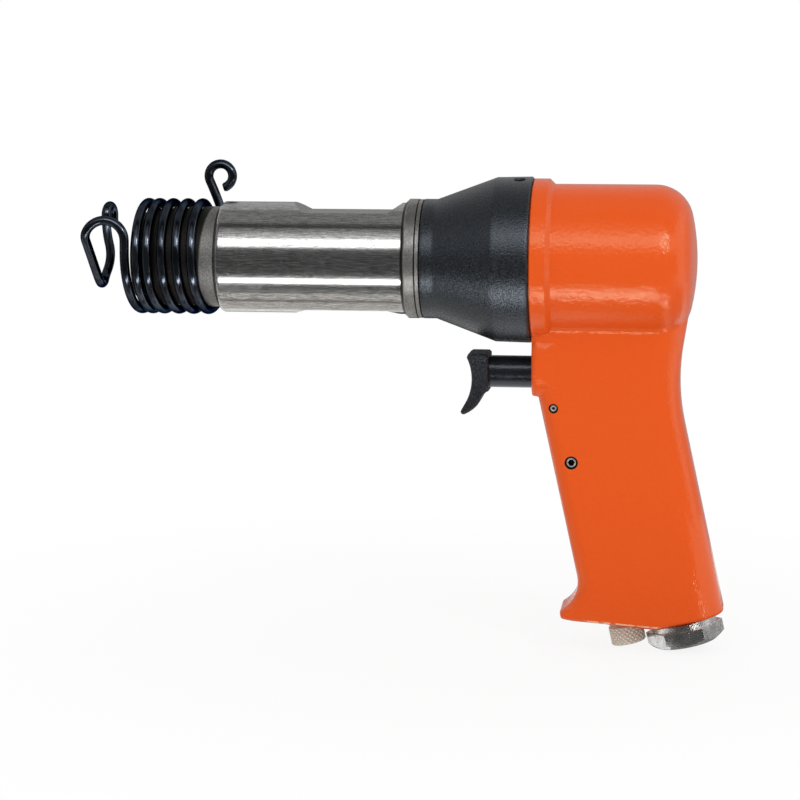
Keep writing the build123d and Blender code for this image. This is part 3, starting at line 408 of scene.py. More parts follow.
def set_shader(tree, shader, **inputs):
    """Set or link the shader's sockets."""
    for label, value in inputs.items():
        set_socket(tree, shader.inputs[label.replace("_", " ")], value)


def bumped(tree, height, depth, normal=None):
    """Normal of a surface with a height, whose unit is the depth in millimetres."""
    inputs = {"Height": height, "Distance": depth * mm, "Strength": 1.0}
    if normal is not None:
        inputs["Normal"] = normal
    return add_node(tree, "ShaderNodeBump", inputs).outputs["Normal"]


def soft_edges(tree, radius):
    """Normal that rounds the edges by a small radius in millimetres."""
    return add_node(tree, "ShaderNodeBevel", {"Radius": radius * mm}, samples=edge_samples).outputs["Normal"]


def axis_distance(tree, place, centre):
    """Distance from an axis across the grip, through a point."""
    offset = vector_calc(tree, "SUBTRACT", place, centre)
    return vector_calc(tree, "LENGTH", vector_calc(tree, "MULTIPLY", offset, (1.0, 0.0, 1.0)))


def near_axis(tree, place, centre, radius):
    """Mask of what lies within a radius of an axis across the grip, through a point."""
    return graded(tree, axis_distance(tree, place, centre), radius, radius + mask_edge, 1.0, 0.0)


def middle(node):
    """Middle of a CAD node in millimetres."""
    low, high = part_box(node)
    return (low + high) / 2 / mm


def rim_highlight_stretch(tree, place):
    """Mask of the stretch of the butt's rounded rim where a highlight is painted."""
    offset = vector_calc(tree, "SUBTRACT", place, butt)
    across = vector_calc(tree, "DOT_PRODUCT", offset, rearward)
    along = vector_calc(tree, "DOT_PRODUCT", offset, upward)
    slope = calc(tree, "MULTIPLY", calc(tree, "SUBTRACT", butt_corner, across), tan(butt_slope))
    face = calc(tree, "ADD", calc(tree, "MAXIMUM", slope, 0.0), butt_face + rim_height)
    rise = calc(tree, "ABSOLUTE", calc(tree, "SUBTRACT", along, face))
    ends = graded(tree, calc(tree, "ABSOLUTE", across), rim_highlight_half - rim_highlight_fade, rim_highlight_half, 1.0, 0.0)
    return calc(tree, "MULTIPLY", graded(tree, rise, rim_core * rim_half, rim_half, 1.0, 0.0), ends)


def paint_finish():
    """Glossy orange paint on a casting, with a painted highlight in spots along the butt's rim and painted
    shade in the holes of pin and screw.
    """
    finish, tree, shader, place = start_finish("handle_paint_finish")
    peel = use_group(tree, cast_grain, Place=place, Grains_per_mm=0.68, Detail=3.0)
    fine = use_group(tree, cast_grain, Place=place, Grains_per_mm=2.0, Detail=1.0)
    cloud = use_group(tree, cast_grain, Place=place, Grains_per_mm=0.035, Detail=2.0)
    flakes = use_group(tree, cast_grain, Place=place, Grains_per_mm=0.45, Detail=4.0)
    edges = use_group(tree, rubbed_edges, Radius=paint_edge * mm, Place=place)
    colour = mixed(tree, calc(tree, "MULTIPLY", edges["Mask"], thin_share), paint_orange, paint_thin)
    colour = mixed(tree, by_grain(tree, cloud["Height"], 0.0, shade_share), colour, paint_shade)
    # Painted highlight along the butt's rim, broken into spots by noise
    rim_highlight_spots = graded(tree, flakes["Height"], rim_spot_low, rim_spot_high, 0.0, 1.0)
    colour = mixed(tree, calc(tree, "MULTIPLY", rim_highlight_stretch(tree, place), rim_highlight_spots), colour, painted_rim_highlight)
    # Painted shade, near black, in the recesses of the lever pin and the seat screw, the screw's only on the
    # near side
    pin_hole = near_axis(tree, place, middle("lever_pin"), pin_hole_radius)
    screw_hole = near_axis(tree, place, middle("seat_screw"), screw_hole_radius)
    across = add_node(tree, "ShaderNodeSeparateXYZ", {0: place}).outputs["Y"]
    near_side = graded(tree, across, -near_side_depth, 0.0, 1.0, 0.0)
    recess_shade = calc(tree, "MAXIMUM", pin_hole, calc(tree, "MULTIPLY", screw_hole, near_side))
    colour = mixed(tree, recess_shade, colour, shade_and_speck_dark)
    height = blended(tree, peel["Height"], 1.0, fine["Height"], fine_share)
    normal = bumped(tree, height, peel_depth, soft_edges(tree, paint_rounding))
    gloss = by_grain(tree, fine["Height"], *paint_rough)
    set_shader(tree, shader, Base_Color=colour, Roughness=gloss, Normal=normal)
    set_shader(tree, shader, Specular_Tint=paint_gloss, Specular_IOR_Level=0.55)
    return finish


def barrel_painted_shade(tree, parts, nose):
    """Mask of painted shade: the spring's last turn's shadow on the nose, in the nose's corner and ahead of
    the collar.
    """
    along = parts["X"]
    around = calc(tree, "ARCTAN2", parts["Z"], calc(tree, "MULTIPLY", parts["Y"], -1.0))
    last_wire = blended(tree, around, rear_pitch / (2 * pi), parts["Y"], coil_skew)
    behind = calc(tree, "SUBTRACT", along, calc(tree, "ADD", last_wire, coil_rear - rear_pitch / 2))
    # Painted shadow of the spring's last turn on the nose
    shaded = graded(tree, behind, wire_radius + wire_shade_start, wire_radius + wire_shade_end,
                    wire_shade_most, 0.0)
    # Painted shade in the nose's corner at the shoulder
    corner = graded(tree, along, nose_length - corner_shade_start, nose_length - corner_shade_end,
                    0.0, corner_shade_most)
    # Painted shade just ahead of the collar
    ahead = graded(tree, along, collar_start - collar_shade_start, collar_start - collar_shade_end,
                   0.0, collar_shade_most)
    painted_shade_mask = calc(tree, "MAXIMUM", calc(tree, "MULTIPLY", nose, corner), ahead)
    return calc(tree, "MAXIMUM", shaded, painted_shade_mask)


def barrel_finish():
    """Steel ground along the barrel, with a rough grey nose under the spring."""
    finish, tree, shader, place = start_finish("ground_steel_finish")
    fine = use_group(tree, drawn_lines, Place=place, Lines_per_mm=3.0, Length=14.0)
    speck = use_group(tree, cast_grain, Place=place, Grains_per_mm=2.6, Detail=2.0)
    parts = add_node(tree, "ShaderNodeSeparateXYZ", {0: place}).outputs
    nose = graded(tree, parts["X"], nose_length + nose_edge_start, nose_length + nose_edge_end, 1.0, 0.0)
    streak = blended(tree, fine["Lines"], line_share, speck["Height"], 1.0 - line_share)
    ground = mixed(tree, graded(tree, streak, streak_low, streak_high, 0.0, 1.0), ground_light, ground_dark)
    rough = mixed(tree, speck["Mask"], nose_light, nose_dark)
    colour = mixed(tree, nose, ground, rough)
    # Painted shade, near black, on the nose and ahead of the collar
    colour = mixed(tree, barrel_painted_shade(tree, parts, nose), colour, shade_and_speck_dark)
    gloss = blended(tree, by_grain(tree, streak, *ground_rough), 1.0, nose, nose_roughening)
    relief = calc(tree, "MULTIPLY", speck["Height"], calc(tree, "MULTIPLY", nose, nose_relief))
    height = calc(tree, "ADD", streak, relief)
    normal = bumped(tree, height, streak_depth, soft_edges(tree, steel_rounding))
    set_shader(tree, shader, Base_Color=colour, Roughness=gloss, Metallic=1.0, Normal=normal)
    return finish


def metal_finish(name, light, dark, gloss, grain, depth, edge=0.25, shade_radius=None):
    """Speckled bare or plated metal, brighter at rubbed edges, with painted shade within a radius of the
    barrel.
    """
    finish, tree, shader, place = start_finish(name)
    speck = use_group(tree, cast_grain, Place=place, Grains_per_mm=grain, Detail=3.0)
    cloud = use_group(tree, cast_grain, Place=place, Grains_per_mm=0.25, Detail=2.0)
    edges = use_group(tree, rubbed_edges, Radius=edge * mm, Place=place)
    share = blended(tree, speck["Mask"], speck_share, cloud["Mask"], 1.0 - speck_share)
    colour = mixed(tree, share, light, dark)
    colour = mixed(tree, calc(tree, "MULTIPLY", edges["Mask"], rubbed_share), colour, light)
    if shade_radius is not None:
        # Painted shade near the barrel, where collar and washer meet it
        reach = vector_calc(tree, "LENGTH", vector_calc(tree, "MULTIPLY", place, (0.0, 1.0, 1.0)))
        painted_shade_mask = graded(tree, reach, shade_radius, shade_radius + ring_shade_edge, ring_shade_most, 0.0)
        colour = mixed(tree, painted_shade_mask, colour, shade_and_speck_dark)
    rough = by_grain(tree, speck["Height"], gloss - metal_below, gloss + metal_above)
    normal = bumped(tree, speck["Height"], depth, soft_edges(tree, edge))
    set_shader(tree, shader, Base_Color=colour, Roughness=rough, Metallic=1.0, Normal=normal)
    return finish


def knob_finish():
    """Pale plate, with painted shade in the grooves of the knurl."""
    finish, tree, shader, place = start_finish("knob_steel_finish")
    speck = use_group(tree, cast_grain, Place=place, Grains_per_mm=1.2, Detail=3.0)
    across = vector_calc(tree, "CROSS_PRODUCT", vector_calc(tree, "SUBTRACT", place, butt), upward)
    distance = vector_calc(tree, "LENGTH", across)
    # Painted shade: dark at the groove bottoms, light on the teeth
    tooth = graded(tree, distance, knob_radius, knob_radius + tooth_share * knurl_depth, 0.0, 1.0)
    inner = graded(tree, distance, knob_radius - knob_end_start, knob_radius - knob_end_edge,
                   knob_end_share, 0.0)
    patchy = graded(tree, speck["Height"], grain_low, plate_high, plate_least, 1.0)
    share = calc(tree, "MULTIPLY", calc(tree, "MAXIMUM", tooth, inner), patchy)
    set_shader(tree, shader, Base_Color=mixed(tree, share, knob_shade_and_patch, knob_light), Metallic=0.2,
               Roughness=by_grain(tree, speck["Height"], *knob_rough),
               Normal=bumped(tree, speck["Height"], knob_depth))
    return finish


def pin_finish(name, node, bright_radius):
    """Bright domed end of a pin or screw, with painted shade round its rim and in its socket."""
    finish, tree, shader, place = start_finish(name)
    speck = use_group(tree, cast_grain, Place=place, Grains_per_mm=0.9, Detail=2.0)
    distance = axis_distance(tree, place, middle(node))
    # Painted shade round the bright end and down in the hole
    rim = graded(tree, distance, bright_radius, bright_radius + pin_rim_edge, 0.0, 1.0)
    end = -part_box(node)[0].y / mm
    out = calc(tree, "ABSOLUTE", add_node(tree, "ShaderNodeSeparateXYZ", {0: place}).outputs["Y"])
    deep = graded(tree, out, end - pin_socket_start, end - pin_socket_edge, 1.0, 0.0)
    shade = calc(tree, "MAXIMUM", rim, calc(tree, "MULTIPLY", speck["Mask"], pin_speck_share))
    shade = calc(tree, "MAXIMUM", shade, deep)
    fall = calc(tree, "MULTIPLY", calc(tree, "MULTIPLY", distance, distance), -pin_dome / bright_radius)
    set_shader(tree, shader, Base_Color=mixed(tree, shade, pin_light, shade_and_speck_dark), Metallic=0.2,
               Roughness=by_grain(tree, speck["Height"], *pin_rough), Normal=bumped(tree, fall, 1.0))
    return finish


def black_finish(name, gloss, grain, depth, edge=0.35, ior=1.5):
    """Black coat over metal, grainy, a little rubbed at its edges."""
    finish, tree, shader, place = start_finish(name)
    speck = use_group(tree, cast_grain, Place=place, Grains_per_mm=grain, Detail=3.0)
    edges = use_group(tree, rubbed_edges, Radius=black_edge * mm, Place=place)
    colour = mixed(tree, calc(tree, "MULTIPLY", edges["Mask"], black_rubbed_share), black_coat, black_worn)
    colour = mixed(tree, calc(tree, "MULTIPLY", speck["Mask"], black_speck_share), colour, black_worn)
    rough = by_grain(tree, speck["Height"], gloss - black_below, gloss + black_above)
    normal = bumped(tree, speck["Height"], depth, soft_edges(tree, edge))
    set_shader(tree, shader, Base_Color=colour, Roughness=rough, Normal=normal)
    set_shader(tree, shader, Specular_Tint=cool_gloss, Specular_IOR_Level=0.8, IOR=ior)
    return finish


def wire_finish():
    """Blue-black oil-hardened wire, faintly clouded and grainy."""
    finish, tree, shader, place = start_finish("spring_steel_finish")
    speck = use_group(tree, cast_grain, Place=place, Grains_per_mm=1.6, Detail=4.0)
    cloud = use_group(tree, cast_grain, Place=place, Grains_per_mm=0.12, Detail=2.0)
    set_shader(tree, shader, Base_Color=mixed(tree, cloud["Mask"], wire_blue, wire_black), Metallic=1.0,
               Roughness=by_grain(tree, speck["Height"], *wire_rough),
               Normal=bumped(tree, speck["Height"], wire_depth), Specular_Tint=wire_edge)
    return finish


def rubber_finish():
    """Matt black rubber with a faint bloom."""
    finish, tree, shader, place = start_finish("rubber_finish")
    bloom = use_group(tree, cast_grain, Place=place, Grains_per_mm=0.8, Detail=3.0)
    speck = use_group(tree, cast_grain, Place=place, Grains_per_mm=5.0, Detail=1.0)
    colour = mixed(tree, calc(tree, "MULTIPLY", bloom["Mask"], bloom_share), rubber_black, rubber_bloom)
    set_shader(tree, shader, Base_Color=colour, Roughness=by_grain(tree, bloom["Height"], *rubber_rough),
               Normal=bumped(tree, speck["Height"], rubber_depth))
    return finish


finishes = {
    "handle_paint": paint_finish(),
    "ground_steel": barrel_finish(),
    "rough_steel": metal_finish("rough_steel_finish", nose_light, nose_dark, gloss=0.44, grain=2.2,
                                depth=0.030, shade_radius=ring_hub_radius + ring_shade_rise),
    "bright_steel": metal_finish("bright_steel_finish", steel_light, steel_dark, gloss=0.26, grain=3.0,
                                 depth=0.003),
    "black_steel": black_finish("black_steel_finish", gloss=0.27, grain=1.6, depth=0.16, edge=1.6, ior=1.56),
    "black_cast": black_finish("black_cast_finish", gloss=0.12, grain=1.05, depth=1.0),
    "spring_steel": wire_finish(),
    "zinc": metal_finish("zinc_finish", zinc_light, zinc_dark, gloss=0.26, grain=1.6, depth=0.09, edge=0.35),
    "knob_steel": knob_finish(),
    "brass": metal_finish("brass_finish", brass_light, brass_dark, gloss=0.28, grain=2.5, depth=0.003),
    "rubber": rubber_finish(),
}
own_finishes = {
    "trigger_stem": black_finish("stem_black_finish", gloss=0.16, grain=1.8, depth=0.09),
    "deflector_washer": finishes["rough_steel"],
    "lever_pin": pin_finish("lever_pin_finish", "lever_pin", bright_radius=1.05),
    "seat_screw": pin_finish("seat_screw_finish", "seat_screw", bright_radius=1.65),
}
for part in frame["record"]["subparts"]:
    cad_nodes[part["node"]].material_slots[0].material = finishes[part["material_slot"]]
for node, finish in own_finishes.items():
    cad_nodes[node].material_slots[0].material = finish


# Geometry trees
def open_tree(name, inputs):
    """Start a geometry node tree with named inputs, geometry first."""
    tree = bpy.data.node_groups.new(name, "GeometryNodeTree")
    tree.interface.new_socket(name="Geometry", in_out="INPUT", socket_type="NodeSocketGeometry")
    for label, kind in inputs:
        tree.interface.new_socket(name=label, in_out="INPUT", socket_type=kind)
    tree.interface.new_socket(name="Geometry", in_out="OUTPUT", socket_type="NodeSocketGeometry")
    return tree, tree.nodes.new("NodeGroupInput").outputs, tree.nodes.new("NodeGroupOutput").inputs


def close_tree(tree, shape, finish, result):
    """End a tree: smooth, made real and given its finish."""
    smooth = add_node(tree, "GeometryNodeSetShadeSmooth", {"Geometry": shape})
    real = add_node(tree, "GeometryNodeRealizeInstances", {"Geometry": smooth.outputs[0]})
    dressed = add_node(tree, "GeometryNodeSetMaterial", {"Geometry": real.outputs[0], "Material": finish})
    tree.links.new(dressed.outputs[0], result["Geometry"])


def wire_tree():
    """Round wire along a line of points, with tapered cut ends."""
    tree, given, result = open_tree("bent_wire", [
        ("Wire radius", "NodeSocketFloat"),
        ("Facets", "NodeSocketInt"),
        ("Step", "NodeSocketFloat"),
        ("Taper", "NodeSocketFloat"),
        ("End share", "NodeSocketFloat"),
        ("Finish", "NodeSocketMaterial"),
    ])
    line = add_node(tree, "GeometryNodeMeshToCurve", {"Mesh": given["Geometry"]})
    even = add_node(tree, "GeometryNodeResampleCurve", {
        "Curve": line.outputs[0],
        "Length": given["Step"],
    }, mode="LENGTH")
    along = add_node(tree, "GeometryNodeSplineParameter").outputs["Length"]
    whole = add_node(tree, "GeometryNodeSplineLength").outputs["Length"]
    to_end = calc(tree, "MINIMUM", along, calc(tree, "SUBTRACT", whole, along))
    share = graded(tree, to_end, 0.0, given["Taper"], given["End share"], 1.0)
    circle = add_node(tree, "GeometryNodeCurvePrimitiveCircle", {
        "Resolution": given["Facets"],
        "Radius": given["Wire radius"],
    })
    tube = add_node(tree, "GeometryNodeCurveToMesh", {
        "Curve": even.outputs[0],
        "Profile Curve": circle.outputs["Curve"],
        "Scale": share,
        "Fill Caps": True,
    })
    close_tree(tree, tube.outputs[0], given["Finish"], result)
    return tree


def knurl_tree():
    """Sleeve with a diamond knurl, stood on its axis and moved to its place."""
    tree, given, result = open_tree("diamond_knurl", [
        ("Radius", "NodeSocketFloat"),
        ("Height", "NodeSocketFloat"),
        ("Depth", "NodeSocketFloat"),
        ("Teeth", "NodeSocketFloat"),
        ("Lead", "NodeSocketFloat"),
        ("Edge", "NodeSocketFloat"),
        ("Around", "NodeSocketInt"),
        ("Along", "NodeSocketInt"),
        ("Place", "NodeSocketVector"),
        ("Turn", "NodeSocketVector"),
        ("Finish", "NodeSocketMaterial"),
    ])
    sleeve = add_node(tree, "GeometryNodeMeshCylinder", {
        "Vertices": given["Around"],
        "Side Segments": given["Along"],
        "Radius": given["Radius"],
        "Depth": given["Height"],
    }, fill_type="NGON")
    place = add_node(tree, "GeometryNodeInputPosition").outputs[0]
    parts = add_node(tree, "ShaderNodeSeparateXYZ", {0: place}).outputs
    angle = calc(tree, "ARCTAN2", parts["Y"], parts["X"])
    turns = calc(tree, "DIVIDE", calc(tree, "MULTIPLY", angle, given["Teeth"]), 2 * pi)
    climb = calc(tree, "DIVIDE", parts["Z"], given["Lead"])
    left = calc(tree, "PINGPONG", calc(tree, "ADD", turns, climb), 0.5)
    right = calc(tree, "PINGPONG", calc(tree, "SUBTRACT", turns, climb), 0.5)
    tooth = calc(tree, "MULTIPLY", calc(tree, "MINIMUM", left, right), 2.0)
    half = calc(tree, "DIVIDE", given["Height"], 2.0)
    to_end = calc(tree, "SUBTRACT", half, calc(tree, "ABSOLUTE", parts["Z"]))
    fade = graded(tree, to_end, 0.0, given["Edge"], 0.0, 1.0)
    out = calc(tree, "MULTIPLY", calc(tree, "MULTIPLY", tooth, fade), given["Depth"])
    way = vector_calc(tree, "NORMALIZE", vector_calc(tree, "MULTIPLY", place, (1.0, 1.0, 0.0)))
    offset = add_node(tree, "ShaderNodeVectorMath", {0: way, "Scale": out}, operation="SCALE")
    cut = add_node(tree, "GeometryNodeSetPosition", {
        "Geometry": sleeve.outputs["Mesh"],
        "Offset": offset.outputs[0],
    })
    moved = add_node(tree, "GeometryNodeTransform", {
        "Geometry": cut.outputs[0],
        "Translation": given["Place"],
        "Rotation": given["Turn"],
    })
    close_tree(tree, moved.outputs[0], given["Finish"], result)
    return tree


def grown(name, tree, points, inputs, sharp):
    """Plain mesh object that a tree makes from a line of points."""
    line = bpy.data.meshes.new(name + "_line")
    line.from_pydata(points, [(i, i + 1) for i in range(len(points) - 1)], [])
    host = bpy.data.objects.new(name + "_line", line)
    bpy.context.scene.collection.objects.link(host)
    grow = host.modifiers.new("grow", "NODES")
    grow.node_group = tree
    for item in tree.interface.items_tree:
        if item.in_out == "INPUT" and item.name in inputs:
            grow[item.identifier] = inputs[item.name]
    depsgraph = bpy.context.evaluated_depsgraph_get()
    mesh = bpy.data.meshes.new_from_object(host.evaluated_get(depsgraph))
    bpy.data.objects.remove(host)
    bpy.data.meshes.remove(line)
    mesh.name = name
    mesh.set_sharp_from_angle(angle=radians(sharp))
    piece = bpy.data.objects.new(name, mesh)
    bpy.context.scene.collection.objects.link(piece)
    return piece


# Route of a bent wire: stations with their directions, joined by pairs of arcs
def biarc(first, second):
    """Station where the two arcs meet that join one station to the next."""
    start, start_way = first
    end, end_way = second
    span = end - start
    both = start_way + end_way
    spread = 2 * (1 - start_way.dot(end_way))
    along = span.dot(both)
    reach = span.dot(span) / (sqrt(along ** 2 + spread * span.dot(span)) + along)
    near = start + start_way * reach
    far = end - end_way * reach
    return (near + far) / 2, (far - near).normalized()


def arc_points(first, end, step):
    """Points from a station to an end along the arc that leaves in the station's direction."""
    start, way = first
    span = end - start
    side = span - way * span.dot(way)
    if side.length < straight_share * span.length:
        return [end]
    side.normalize()
    radius = span.dot(span) / (2 * span.dot(side))
    turn = 2 * atan2(span.dot(side), span.dot(way))
    count = max(2, ceil(radius * turn / step))
    angles = [turn * (i + 1) / count for i in range(count)]
    return [start + way * (radius * sin(a)) + side * (radius * (1 - cos(a))) for a in angles]


def route_points(stations, step):
    """Points of the whole route, in metres."""
    points = [stations[0][0]]
    for first, second in zip(stations, stations[1:]):
        centre = biarc(first, second)
        points += arc_points(first, centre[0], step)
        points += arc_points(centre, second[0], step)
    return [point * mm for point in points]


# Retaining spring
def coil_station(quarter):
    """Wire centre and direction after so many quarter turns from the rear of the coil."""
    rear_part = min(quarter, rear_quarters)
    front_part = quarter - rear_part
    x = coil_rear - rear_part * rear_pitch / 4 - front_part * front_pitch / 4
    pitch = rear_pitch if quarter < rear_quarters else front_pitch
    turn = radians(270 - 90 * quarter)
    y = -coil_radius * sin(turn)
    y_way = coil_radius * cos(turn)
    way = Vector((coil_skew * y_way - pitch / (2 * pi), y_way, coil_radius * sin(turn)))
    return Vector((x + coil_skew * y, y, coil_radius * cos(turn))), way.normalized()


def eye_station(angle):
    """Wire centre and direction on the tail's eye, at an angle in degrees."""
    turn = radians(angle)
    centre = Vector((coil_station(0)[0].x - eye_back, coil_radius, eye_height))
    return centre + Vector((cos(turn), 0, sin(turn))) * eye_radius, Vector((-sin(turn), 0, cos(turn)))


def gate_stations(gate_back):
    """The front gate: over the near side, round the tool's shank and up the far side."""
    gate_front = gate_back - 2 * gate_arc_radius
    gate_foot = gate_front + gate_forward
    reach = sqrt(gate_spread ** 2 + gate_rise ** 2)
    mouth_turn = atan2(gate_rise, -gate_spread) + acos(gate_radius / reach)
    foot_y = gate_radius * cos(mouth_turn)
    foot_z = gate_radius * sin(mouth_turn)
    far_way = radians(far_bend_turn)
    far_out = Vector((sin(far_way), cos(far_way), 0))
    up = Vector((0, 0, 1))
    gate_top = Vector((gate_back - gate_arc_radius, -coil_radius, gate_rise + gate_arc_radius))
    leg_down = Vector((gate_forward, foot_y + gate_spread, foot_z - gate_rise)).normalized()
    leg_up = Vector((far_leg_bow, leg_down.y, -leg_down.z)).normalized()
    far_top = Vector((gate_front - far_leg_lean, gate_spread, far_leg_top))
    far_return = far_top + far_out * (2 * far_bend_radius)
    return [
        (Vector((gate_back, -coil_radius, gate_rise)), up),
        (gate_top, Vector((-1, 0, 0))),
        (Vector((gate_front, -gate_spread, gate_rise)), leg_down),
        (Vector((gate_foot, foot_y, foot_z)), leg_down),
        (Vector((gate_foot, 0, -gate_radius)), Vector((0, 1, 0))),
        (Vector((gate_foot, -foot_y, foot_z)), leg_up),
        (far_top, up),
        (far_top + (far_out + up) * far_bend_radius, far_out),
        (far_return, -up),
        (far_return - up * far_end_length, -up),
    ]


bent_wire = wire_tree()
eye_angles = [eye_start, eye_start / 2, 0.0, 90.0, 180.0, eye_end]
coil = [coil_station(quarter) for quarter in range(rear_quarters + front_quarters + 1)]
retainer_route = [eye_station(angle) for angle in eye_angles] + coil + gate_stations(coil[-1][0].x)
retainer = grown("retainer_wire", bent_wire, route_points(retainer_route, wire_step), {
    "Wire radius": wire_radius * mm,
    "Facets": wire_facets,
    "Step": wire_step * mm,
    "Taper": wire_end_taper * mm,
    "End share": wire_end_share,
    "Finish": finishes["spring_steel"],
}, wire_sharp)
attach(retainer, "housing")
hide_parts("retaining_spring")


# Throttle spring, built at one length; the real spring shortens as the valve opens
def valve_spring_station(quarter):
    """Wire centre and direction after so many quarter turns up the throttle spring."""
    first = spring_seat + spring_wire
    rise = (spring_top - spring_wire - first) / (4 * spring_turns)
    turn = radians(90 * quarter)
    place = butt + upward * (first + rise * quarter) + rearward * (spring_radius * cos(turn))
    place += Vector((0, spring_radius * sin(turn), 0))
    way = Vector((0, cos(turn), 0)) - rearward * sin(turn) + upward * (2 * rise / (pi * spring_radius))
    return place, way.normalized()


valve_spring_route = [valve_spring_station(quarter) for quarter in range(4 * spring_turns + 1)]
valve_spring = grown("throttle_spring_wire", bent_wire, route_points(valve_spring_route, spring_step), {
    "Wire radius": spring_wire * mm,
    "Facets": spring_facets,
    "Step": spring_step * mm,
    "Taper": wire_end_taper * mm,
    "End share": wire_end_share,
    "Finish": finishes["bright_steel"],
}, wire_sharp)
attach(valve_spring, "housing")
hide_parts("throttle_spring")
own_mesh(valve_spring)

# Knurled sleeve of the regulator's knob
knurl = grown("knob_knurl", knurl_tree(), [(0, 0, 0), (0, 0, mm)], {
    "Radius": knob_radius * mm,
    "Height": (knob_top - knob_bottom) * mm,
    "Depth": knurl_depth * mm,
    "Teeth": float(knurl_count),
    "Lead": knurl_lead * mm,
    "Edge": knurl_edge * mm,
    "Around": knurl_around,
    "Along": knurl_along,
    "Place": tuple((butt + upward * ((knob_top + knob_bottom) / 2)) * mm),
    "Turn": (0.0, -lean, 0.0),
    "Finish": finishes["knob_steel"],
}, knurl_sharp)
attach(knurl, "regulator")


# Studio, in metres
floor_gap = 0.0002
floor_level = cad_box[0].z - floor_gap
floor_front = -0.228
floor_back = 1.4
studio_left = -1.0
studio_right = 1.2
shadow_centre = (0.13, 0.0, floor_level)
shadow_inner = 0.08
shadow_outer = 0.30
shadow_white = 0.88
table_level = floor_level + 0.001
hex_level = table_level + 0.0004
head_level = table_level + 0.0008
strip_level = floor_level + 0.003
top_level = 0.75
front_flag_bottom = floor_level - 0.2
table_split = 0.135
table_left = -0.40
table_right = 0.55
table_back = 0.12
line_front = -0.004
line_back = 0.014
shade_back = -0.052
hex_split = -0.022
top_edge_front = -0.545
top_front = -0.47
top_middle = -0.16
top_back = 0.40
grip_flag_line = -0.09
grip_flag_side = 0.24
grip_flag_split = -0.045
grip_flag_bottom = -0.136
grip_flag_top = -0.098
back_flag_line = 0.24
flat_flag_line = 0.20
trigger_flag_line = 0.045
left_flag_line = -0.32
lamp_aim = Vector((0.22, 0.0, 0.0))
lamp_reach = 0.80
lamp_width = 0.80
ambient_level = 0.74


def card(name, corners, material, glossy_only=False):
    """Flat sheet of the studio."""
    mesh = bpy.data.meshes.new(name)
    mesh.from_pydata(corners, [], [tuple(range(len(corners)))])
    mesh.materials.append(material)
    sheet = bpy.data.objects.new(name, mesh)
    bpy.context.scene.collection.objects.link(sheet)
    if glossy_only:
        sheet.visible_camera = False
        sheet.visible_diffuse = False
        sheet.visible_transmission = False
        sheet.visible_shadow = False


def level_card(name, left, right, front, back, level, material, glossy_only=True):
    """Level sheet over a rectangle, as a rule seen only in reflections."""
    corners = [(left, front, level), (right, front, level), (right, back, level), (left, back, level)]
    card(name, corners, material, glossy_only)


def upright_card(name, start, end, bottom, top, material):
    """Upright sheet over a line on the table, seen only in reflections."""
    card(name, [(*start, bottom), (*end, bottom), (*end, top), (*start, top)], material, True)


def background_share(tree):
    """1 for the rays that see the background itself: camera, mirror and glass rays."""
    path = add_node(tree, "ShaderNodeLightPath").outputs
    seen = calc(tree, "MAXIMUM", path["Is Camera Ray"], path["Is Glossy Ray"])
    return calc(tree, "MAXIMUM", seen, path["Is Transmission Ray"])


def start_studio(name):
    """New material with no nodes yet."""
    finish = bpy.data.materials.new(name)
    finish.use_nodes = True
    finish.node_tree.nodes.clear()
    return finish, finish.node_tree


def floor_finish():
    """White floor that keeps a soft shadow and fades into the background."""
    finish, tree = start_studio("studio_floor")
    place = add_node(tree, "ShaderNodeTexCoord").outputs["Object"]
    away = vector_calc(tree, "DISTANCE", place, shadow_centre)
    white = graded(tree, away, shadow_inner, shadow_outer, shadow_white, 1.0)
    share = calc(tree, "MULTIPLY", white, background_share(tree))
    matt = add_node(tree, "ShaderNodeBsdfDiffuse", {"Color": floor_grey})
    glow = add_node(tree, "ShaderNodeEmission", {"Color": plain_white, "Strength": 1.0})
    both = add_node(tree, "ShaderNodeMixShader", {0: share, 1: matt.outputs[0], 2: glow.outputs[0]})
    add_node(tree, "ShaderNodeOutputMaterial", {"Surface": both.outputs[0]})
    return finish


def flag_finish(name, colour, strength=1.0):
    """Plain studio flag or bright card, seen only in reflections."""
    finish, tree = start_studio(name)
    glow = add_node(tree, "ShaderNodeEmission", {"Color": (*colour, 1.0), "Strength": strength})
    add_node(tree, "ShaderNodeOutputMaterial", {"Surface": glow.outputs[0]})
    finish.cycles.emission_sampling = "NONE"
    return finish


level_card("studio_floor", studio_left, studio_right, floor_front, floor_back, floor_level, floor_finish(),
           glossy_only=False)

# Flags and bright cards that the paint and the metal reflect
black_flag = flag_finish("studio_black_flag", (0.05, 0.05, 0.05))
dark_flag = flag_finish("studio_front_flag", (0.09, 0.09, 0.09))
dim_flag = flag_finish("studio_dim_flag", (0.24, 0.24, 0.24))
grey_flag = flag_finish("studio_grey_flag", (0.42, 0.42, 0.42))
white_flag = flag_finish("studio_white_flag", (0.92, 0.92, 0.92))
strip_flag = flag_finish("studio_strip_flag", (1.0, 1.0, 1.0), 9.0)
fold_flag = flag_finish("studio_fold_flag", (1.0, 1.0, 1.0), 7.0)
warm_dim_flag = flag_finish("studio_warm_dim_flag", (0.20, 0.194, 0.185))
warm_flag = flag_finish("studio_warm_flag", (0.60, 0.583, 0.555))

